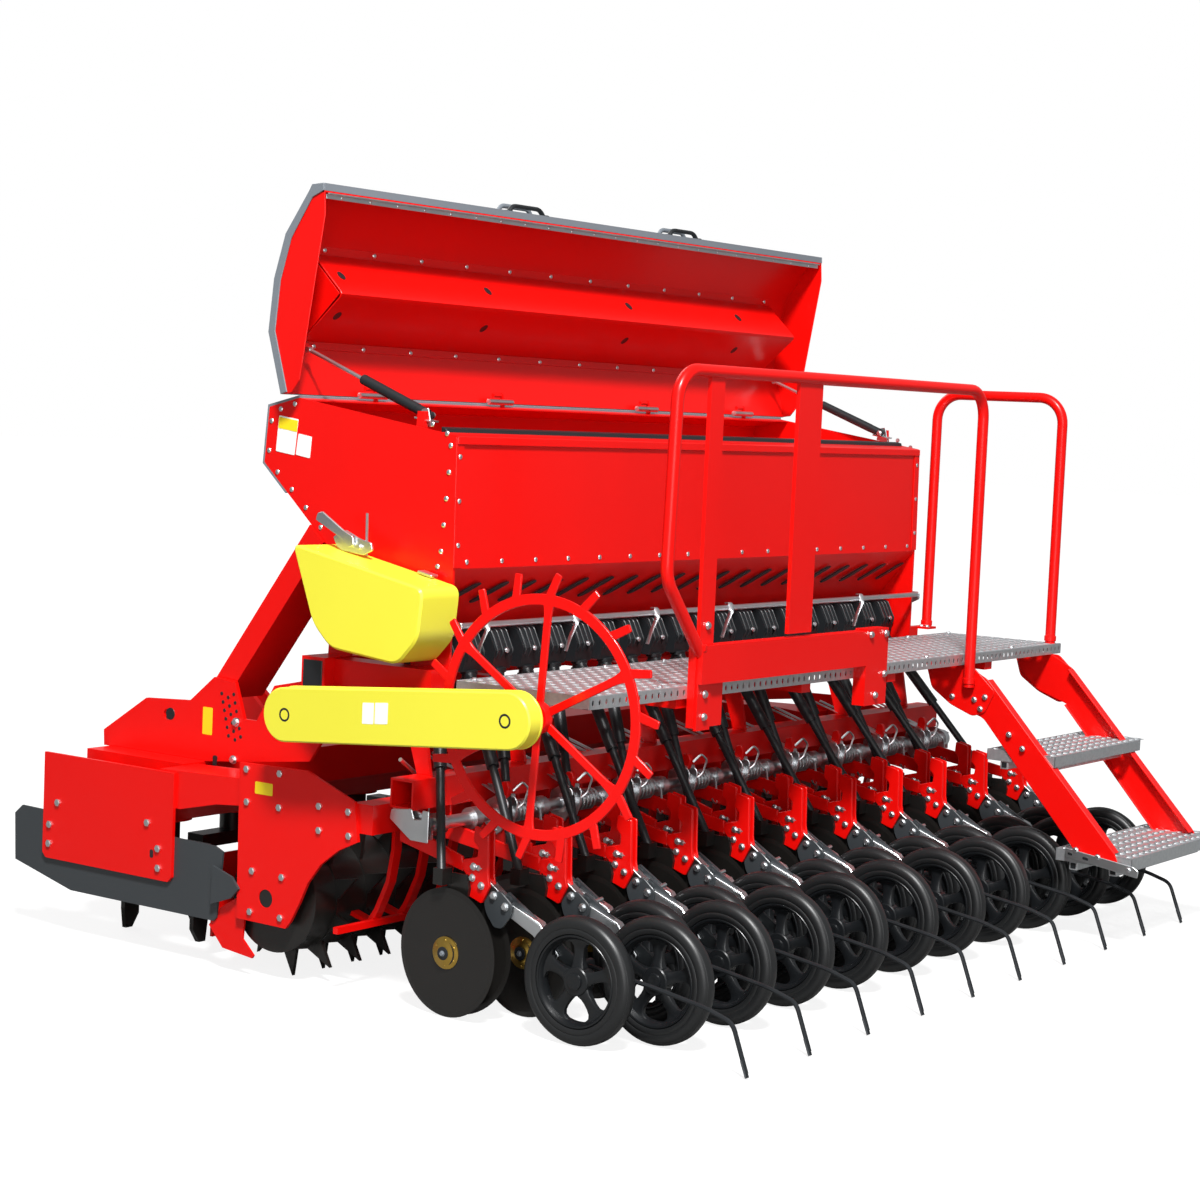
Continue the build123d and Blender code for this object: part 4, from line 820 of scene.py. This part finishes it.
    # hinge knuckles along the front flange
    knuckle = turned([(-0.06, 0.006), (-0.059, 0.009), (0.059, 0.009), (0.06, 0.006)], 14)
    piece("lid_hinge_knuckles", [copied(knuckle, along_x((-1.0, -0.4, 0.4, 1.0)) + (0, *LID_HINGE))], ZINC)


def struts():
    """Black barrels of the gas struts, swept along the line from foot to head, and the pins at their feet."""
    foot = np.array((0.851, 1.585))
    head = np.array((1.303, 1.755))
    along = (head - foot) / np.linalg.norm(head - foot)
    for side, name in SIDES:
        x = side * 1.25
        path = on_side(x, foot + np.outer((0.045, 0.048, 0.255, 0.259), along))
        piece(f"strut_barrel_{name}", [swept(path, 0.0148, 16)], BLACK, f"strut_cylinder_{name}", "black_paint")
        bolts(f"strut_pin_{name}", [(x - side * 0.01, *foot)], (-side, 0, 0), 0.01)


# ---------------------------------------------------------------- deck, rails and steps
def deck():
    """Pressed deck of pierced sheets, with slotted lips in front and behind, plate ribs and edges."""
    left, right = -1.35, 1.44
    rear, front = 0.2, 0.64
    low, top = 0.85, 0.8835
    sheet = pierced((left, rear, top), (1, 0, 0), (0, 1, 0), (62, 10), (0.045, 0.044), (0.0085, 0.0115), 0.002)
    lips = []
    for start, y, way in ((left, rear, 1), (right, front, -1)):
        lips.append(pierced((start, y, low), (way, 0, 0), (0, 0, 1), (93, 1), (0.03, 0.0335),
                            (0.0052, 0.0085), 0.0003, 0.002))
    ends = [plate([(rear, low), (front, low), (front, top), (rear, top)], x, x + 0.002, bevel=SHEET_EDGE)
            for x in (left, right - 0.002)]
    edge = [plate([(y - 0.003, 0.8805), (y + 0.004, 0.8805), (y + 0.004, 0.885), (y - 0.001, 0.885)],
                  left, right, bevel=0.001) for y in (0.2035, 0.6365)]
    under = [plate([(y, low), (y + 0.019, low), (y + 0.019, low + 0.002), (y, low + 0.002)],
                   left, right, bevel=SHEET_EDGE) for y in (0.203, 0.618)]
    ribs = [plate([(0.205, 0.856), (0.635, 0.856), (0.635, 0.8795), (0.205, 0.8795)], x, x + 0.003,
                  bevel=SHEET_EDGE) for x in np.linspace(-1.2, 1.3, 9)]
    piece("deck_sheet", [sheet] + lips + ends + edge + under + ribs, GALVANISED, stands_for=("deck",))
    screws = np.vstack([line((-1.3, y, 0.885), (1.4, y, 0.885), 10) for y in (0.222, 0.618)])
    bolts("deck_screws", screws, (0, 0, 1), 0.008)


def rails():
    """Rail fasteners: bolts through posts and brackets, and turned collars at the tube feet."""
    y = 0.156
    places = [(-0.86, y + 0.013, 0.8), (-0.86, y + 0.013, 0.862), (-0.872, y + 0.013, 0.96),
              (0.02, y, 0.985), (0.11, y, 0.985), (0.06, y, 0.8), (0.11, y, 0.862), (-0.86, y + 0.013, 1.05)]
    bolts("rail_bracket_bolts", places, (0, -1, 0), 0.011)
    collar = turned([(-0.01, 0.018), (-0.008, 0.0205), (0.008, 0.0205), (0.01, 0.018)], 16, axis=2)
    at = np.array([(1.4, 0.223, 0.902), (1.4, 0.708, 0.915), (0.712, 0.176, 0.8), (-0.884, 0.176, 0.99)])
    piece("rail_collars", [copied(collar, at)], RED)
    bolts("rail_tab_bolts", [(1.372, 0.712, 0.903), (1.372, 0.69, 0.903), (1.425, 0.712, 0.903)],
          (0, 0, 1), 0.009)


STRINGERS = (0.735, 1.372)


def steps():
    """Folded stringers with gussets, pressed treads, bright feet and their bolts: plates and pierced sheets."""
    face = [(0.33, 0.85), (0.2, 0.85), (0.118, 0.808), (-0.352, 0.306), (-0.366, 0.272), (-0.238, 0.272),
            (0.128, 0.682), (0.246, 0.722), (0.32, 0.79)]
    outline = soft(face, 0.014)
    forms = []
    flanges = ([(0.118, 0.808), (-0.352, 0.306), (-0.3475, 0.3015), (0.1225, 0.8035)],
               [(-0.238, 0.272), (0.128, 0.682), (0.1235, 0.686), (-0.2425, 0.276)])
    gusset = soft([(0.345, 0.85), (0.175, 0.85), (0.088, 0.772), (0.122, 0.7), (0.165, 0.685), (0.246, 0.716),
                   (0.318, 0.765)], 0.012)
    for x, inwards in ((STRINGERS[0], 1), (STRINGERS[1], -1)):
        forms.append(plate(outline, x - 0.003, x + 0.003))
        near, far = sorted((x, x + inwards * 0.034))
        forms += [plate(flange, near, far) for flange in flanges]
        outside = x - inwards * 0.0065
        forms.append(plate(gusset, outside - 0.0025, outside + 0.0025))
    piece("step_stringers", forms, RED, stands_for=("steps",))
    treads = []
    left, right = 0.7385, 1.405
    for rear, front, low, top in ((-0.41, -0.15, 0.258, 0.296), (-0.13, 0.11, 0.55, 0.585)):
        cell = (0.047, (front - rear) / 6)
        treads.append(pierced((left, rear, top), (1, 0, 0), (0, 1, 0), (15, 6), cell, (0.0125, 0.0105), 0.0028))
        for rim in ([(rear, low), (rear + 0.002, low), (rear + 0.002, top - 0.001), (rear, top)],
                    [(front - 0.002, low), (front, low), (front, top), (front - 0.002, top - 0.001)]):
            treads.append(plate(rim, left, right, bevel=SHEET_EDGE))
        treads += [plate([(rear, low), (front, low), (front, top), (rear, top)], x, x + 0.002, bevel=SHEET_EDGE)
                   for x in (left, right - 0.002)]
        for y in (rear + 0.05, front - 0.075):
            tube = [(y, low - 0.026), (y + 0.028, low - 0.026), (y + 0.028, low + 0.002), (y, low + 0.002)]
            treads.append(plate(soft(tube, 0.004), left + 0.004, right - 0.004))
    piece("step_treads", treads, GALVANISED)
    # painted shade inside the open ends of the tread tubes: small black plates on each end
    caps = []
    for y, z in ((-0.36, 0.246), (-0.225, 0.246), (-0.08, 0.538), (0.035, 0.538)):
        for x in (0.742, 1.4005):
            caps.append(plate(soft([(y + 0.005, z - 0.009), (y + 0.023, z - 0.009), (y + 0.023, z + 0.009),
                                    (y + 0.005, z + 0.009)], 0.003), x, x + 0.001, bevel=0.0003))
    piece("tread_tube_painted_shade", caps, BLACK)
    shoe = soft([(-0.189, 0.304), (-0.189, 0.276), (-0.436, 0.24), (-0.439, 0.262), (-0.42, 0.274)], 0.004)
    forms = [plate(shoe, STRINGERS[0] - 0.012, STRINGERS[0] - 0.007),
             plate(shoe, STRINGERS[1] + 0.007, STRINGERS[1] + 0.012)]
    piece("step_shoes", forms, ZINC)
    places = [(0.24, 0.743), (0.16, 0.74), (0.122, 0.752), (0.137, 0.712), (0.03, 0.64), (-0.02, 0.6),
              (-0.225, 0.3), (-0.3, 0.288), (-0.405, 0.262)]
    bolts("step_bolts_left", on_side(STRINGERS[0] - 0.0095, places), (-1, 0, 0), 0.01)
    bolts("step_bolts_right", on_side(STRINGERS[1] + 0.0095, places), (1, 0, 0), 0.01)
    # painted shade of two slots in the left shoe: thin black plates just proud of its face
    slots = [plate(soft(outline, 0.004), 0.7218, 0.7228, bevel=FILM_EDGE)
             for outline in ([(-0.27, 0.272), (-0.25, 0.275), (-0.25, 0.284), (-0.27, 0.281)],
                             [(-0.215, 0.281), (-0.199, 0.283), (-0.199, 0.291), (-0.215, 0.289)])]
    piece("shoe_slot_painted_shade", slots, BLACK)


# ---------------------------------------------------------------- guards, case and plates
def guards():
    """Chain case with its grommets, drive guard with its clips and latch, rate lever, and blank films. The
    case's outline is two half circles about its pivot and the star wheel's axle."""
    along = (STAR_AXLE - CASE_PIVOT) / np.linalg.norm(STAR_AXLE - CASE_PIVOT)
    heading = math.degrees(math.atan2(along[1], along[0]))
    forms = []
    for size, near, far, bevel in ((0.0735, -1.6095, -1.56, 0.004), (0.075, -1.562, -1.555, 0.0015)):
        capsule = np.vstack((arc(STAR_AXLE, size, heading - 90, heading + 90, 24),
                             arc(CASE_PIVOT, size, heading + 90, heading + 270, 24)))
        forms.append(plate(capsule, near, far, bevel=bevel))
    piece("chain_case_shell", forms, YELLOW, "chain_case", stands_for=("chain_case",))
    spots = on_side(-1.609, [CASE_PIVOT + along * 0.005, STAR_AXLE - along * 0.005])
    grommet = ring_form([(0.002, 0.01), (-0.0005, 0.013), (-0.0009, 0.017), (0.0, 0.021), (0.002, 0.021)], 24)
    piece("chain_case_grommets", [copied(grommet, spots)], BLACK, "chain_case")
    cup = turned([(-0.0004, 0.004), (-0.0004, 0.0098), (0.002, 0.0104)], 24)
    piece("chain_case_cups", [copied(cup, spots)], ZINC, "chain_case")
    film = [plate(soft(outline, 0.003), -1.6099, -1.6092, bevel=FILM_EDGE)
            for outline in ([(0.742, 0.776), (0.742, 0.832), (0.703, 0.835), (0.703, 0.779)],
                            [(0.699, 0.78), (0.699, 0.836), (0.655, 0.84), (0.655, 0.784)])]
    piece("chain_case_label_blanks", film, WHITE_FILM, "chain_case", "yellow_paint")
    shell = soft([(1.141, 1.221), (0.669, 1.13), (0.682, 0.994), (0.75, 0.921), (0.991, 0.945),
                  (1.058, 1.008)], 0.03, 8)
    piece("drive_guard_shell", [plate(shell, -1.47, -1.31, bevel=0.006)], YELLOW, stands_for=("drive_guard",))
    # hinge clips and the latch ear of the drive guard
    clips = [plate(soft([(y, z), (y + 0.05, z + 0.01), (y + 0.048, z + 0.018), (y - 0.002, z + 0.008)], 0.003),
                   -1.335, -1.305) for y, z in ((0.755, 1.149), (1.04, 1.204))]
    piece("guard_clips", clips, ZINC)
    latch = plate(soft([(0.735, 1.04), (0.69, 1.03), (0.68, 1.005), (0.702, 0.992), (0.735, 1.0)], 0.008),
                  -1.345, -1.318)
    piece("guard_latch", [latch], YELLOW)
    bolts("guard_latch_bolt", [(-1.345, 0.698, 1.012)], (-1, 0, 0), 0.009)
    # cranked rate lever with its boss
    arm = soft([(1.0, 1.222), (1.016, 1.214), (1.05, 1.24), (1.142, 1.284), (1.136, 1.303), (1.118, 1.308),
                (1.04, 1.262), (1.004, 1.246)], 0.004)
    body = soft([(1.07, 1.215), (1.052, 1.205), (0.972, 1.196), (0.94, 1.212), (0.945, 1.232), (0.985, 1.24),
                 (1.04, 1.262), (1.085, 1.24)], 0.006)
    forms = [plate(arm, -1.376, -1.368), plate(body, -1.366, -1.358)]
    forms.append(swept([(-1.345, 0.977, 1.195), (-1.345, 0.979, 1.25), (-1.345, 0.98, 1.311)], 0.004))
    piece("rate_lever", forms, ZINC)
    bolts("rate_lever_bolts", [(-1.366, 1.01, 1.222), (-1.366, 0.985, 1.218)], (-1, 0, 0), 0.009)


PLATE_FACE = 1.5
TOWER_FACE = 1.312


def side_plate_details():
    """Bolts, beam stub, blank films, and painted shade of holes and slots on the end plates, side plates and
    towers. The painted mouths are low black rings and plates that stand just proud of the faces they darken."""
    bearing = [(1.251, 0.586), (1.126, 0.588), (1.246, 0.495), (1.125, 0.494), (0.978, 0.517), (0.872, 0.515),
               (0.976, 0.451), (0.868, 0.45), (1.218, 0.305), (1.106, 0.303), (1.221, 0.19), (1.107, 0.19)]
    trough = [(2.01, 0.395), (2.043, 0.326), (2.044, 0.269), (1.634, 0.385), (1.588, 0.316), (1.585, 0.26)]
    tower = [(1.485, 0.568), (1.479, 0.678)]
    for side, name in SIDES:
        bolts(f"side_plate_bolts_{name}", on_side(side * (PLATE_FACE - 0.003), bearing), (side, 0, 0), 0.0125)
        bolts(f"end_plate_bolts_{name}", on_side(side * (PLATE_FACE - 0.003), trough), (side, 0, 0), 0.0135)
        bolts(f"tower_bolts_{name}", on_side(side * TOWER_FACE, tower), (side, 0, 0), 0.013)
    # stub of the cross beam with its moulded cap, above the chain case
    stub = [(0.819, -1.398), (0.902, -1.398), (0.902, -1.314), (0.859, -1.252), (0.859, -1.18), (0.819, -1.18)]
    piece("beam_stub", [plate(soft(stub, 0.003), 1.071, 1.149, axis=1)], RED)
    cap = plate(soft([(1.075, 0.823), (1.075, 0.898), (1.145, 0.898), (1.145, 0.823)], 0.003), -1.4025, -1.396)
    piece("beam_cap", [cap], BLACK)
    bolts("beam_stub_bolts", line((-1.376, 1.0725, 0.837), (-1.286, 1.0725, 0.837), 3), (0, -1, 0), 0.009,
          finish=RED, domed=True)
    # painted shade in the mouths of the adjusting holes, the lifting eye, the keyhole and the slot
    rows = [(y - 0.0065 * k, z - 0.024 * k) for y, z in ((1.54, 0.755), (1.514, 0.746), (1.492, 0.757))
            for k in range(6)]
    hole = turned([(-0.0006, 0.003), (-0.0006, 0.0052), (0.0002, 0.0056)], 12)
    eye = turned([(-0.0006, 0.01), (-0.0006, 0.0175), (0.0002, 0.018)], 24)
    key = plate(soft([(1.548, 0.572), (1.568, 0.572), (1.566, 0.536), (1.553, 0.534)], 0.008),
                -0.0008, 0.0002, bevel=FILM_EDGE)
    slot_mouth = plate(soft([(1.607, 0.31), (1.621, 0.31), (1.621, 0.286), (1.607, 0.286)], 0.007),
                       -0.0008, 0.0002, bevel=FILM_EDGE)
    mouths = []
    for side, _ in SIDES:
        face = side * (TOWER_FACE + 0.0002)
        mouths += [copied(hole, on_side(face, rows)), copied(eye, on_side(face, [(1.746, 0.674)])),
                   copied(key, [(face, 0, 0)]), copied(slot_mouth, [(side * (PLATE_FACE + 0.0002), 0, 0)])]
    piece("plate_hole_painted_shade", mouths, BLACK)
    blanks = ((TOWER_FACE, [(1.613, 0.629), (1.613, 0.709), (1.574, 0.709), (1.574, 0.629)]),
              (PLATE_FACE, [(1.218, 0.522), (1.218, 0.556), (1.152, 0.556), (1.152, 0.522)]))
    films = [plate(soft(outline, 0.004), x, x + 0.0006, bevel=FILM_EDGE)
             for face, outline in blanks for x in (-face - 0.0006, face)]
    piece("plate_label_blanks", films, YELLOW_FILM)


for make in (press_wheels, coulters, pressure_springs, following_tines, star_wheel, hopper, metering, lid,
             struts, deck, rails, steps, guards, side_plate_details):
    make()


# ---------------------------------------------------------------- studio
def studio():
    """Pale floor, three lamps, even air light and the camera."""
    scene = bpy.context.scene
    scene.view_settings.view_transform = "Standard"
    world = bpy.data.worlds.new("studio_air")
    scene.world = world
    world.use_nodes = True
    tree = world.node_tree
    tree.nodes.clear()
    path = add_node(tree, "ShaderNodeLightPath").outputs["Is Camera Ray"]
    light = add_node(tree, "ShaderNodeBackground", {}, {"Color": linear("#F4F6F8"), "Strength": 0.3})
    seen = add_node(tree, "ShaderNodeBackground", {}, {"Color": (1, 1, 1, 1), "Strength": 1.0})
    mix = add_node(tree, "ShaderNodeMixShader", {}, {0: path, 1: light.outputs[0], 2: seen.outputs[0]})
    out = add_node(tree, "ShaderNodeOutputWorld")
    tree.links.new(mix.outputs[0], out.inputs["Surface"])

    reach = 60.0
    corners = [(-reach, -reach, 0), (reach, -reach, 0), (reach, reach, 0), (-reach, reach, 0)]
    mesh = bpy.data.meshes.new("studio_floor")
    mesh.from_pydata(corners, [], [(0, 1, 2, 3)])
    floor = bpy.data.objects.new("studio_floor", mesh)
    scene.collection.objects.link(floor)
    pale = bpy.data.materials.new("pale_floor")
    pale.use_nodes = True
    tree = pale.node_tree
    tree.nodes.clear()
    matt = add_node(tree, "ShaderNodeBsdfDiffuse", {}, {"Color": linear("#7C7C7B")})
    # seen directly, the floor glows towards white with distance, so that it meets the white air
    camera_ray = add_node(tree, "ShaderNodeLightPath").outputs["Is Camera Ray"]
    away = add_node(tree, "ShaderNodeVectorMath", {"operation": "LENGTH"},
                    {0: add_node(tree, "ShaderNodeTexCoord").outputs["Object"]})
    level = add_node(tree, "ShaderNodeMapRange", {}, {
        "Value": away.outputs["Value"], "From Min": 3.5, "From Max": 11.0, "To Min": 0.86, "To Max": 1.0})
    glow = add_node(tree, "ShaderNodeMath", {"operation": "MULTIPLY"},
                    {0: camera_ray, 1: level.outputs["Result"]})
    lit = add_node(tree, "ShaderNodeEmission", {}, {"Color": (1, 1, 1, 1), "Strength": glow.outputs[0]})
    both = add_node(tree, "ShaderNodeAddShader", {}, {0: matt.outputs[0], 1: lit.outputs[0]})
    out = add_node(tree, "ShaderNodeOutputMaterial")
    tree.links.new(both.outputs[0], out.inputs["Surface"])
    mesh.materials.append(pale)

    for name, place, aim, size, power in (
        ("key_lamp", (-6.5, -5.0, 10.5), (0, 0, 0.8), 1.6, 2700.0),
        ("fill_lamp", (-7.5, -6.5, 2.5), (0, 0, 0.8), 5.0, 260.0),
        ("back_lamp", (2.0, 7.0, 7.0), (0, 0, 1.0), 5.0, 200.0),
    ):
        data = bpy.data.lights.new(name, "AREA")
        data.size = size
        data.energy = power
        lamp = bpy.data.objects.new(name, data)
        scene.collection.objects.link(lamp)
        lamp.location = place
        lamp.rotation_mode = "QUATERNION"
        lamp.rotation_quaternion = (Vector(aim) - Vector(place)).to_track_quat("-Z", "Y")

    data = bpy.data.cameras.new("camera")
    data.sensor_width = 36.0
    data.lens = 74.23
    data.clip_end = 200.0
    camera = bpy.data.objects.new("camera", data)
    scene.collection.objects.link(camera)
    camera.location = (-6.422, -4.4065, 1.609)
    aim = Vector((0.81077, 0.58055, -0.07487))
    camera.rotation_mode = "QUATERNION"
    turn = aim.to_track_quat("-Z", "Y").to_matrix() @ Matrix.Rotation(math.radians(2.51), 3, "Z")
    camera.rotation_quaternion = turn.to_quaternion()
    scene.camera = camera


studio()
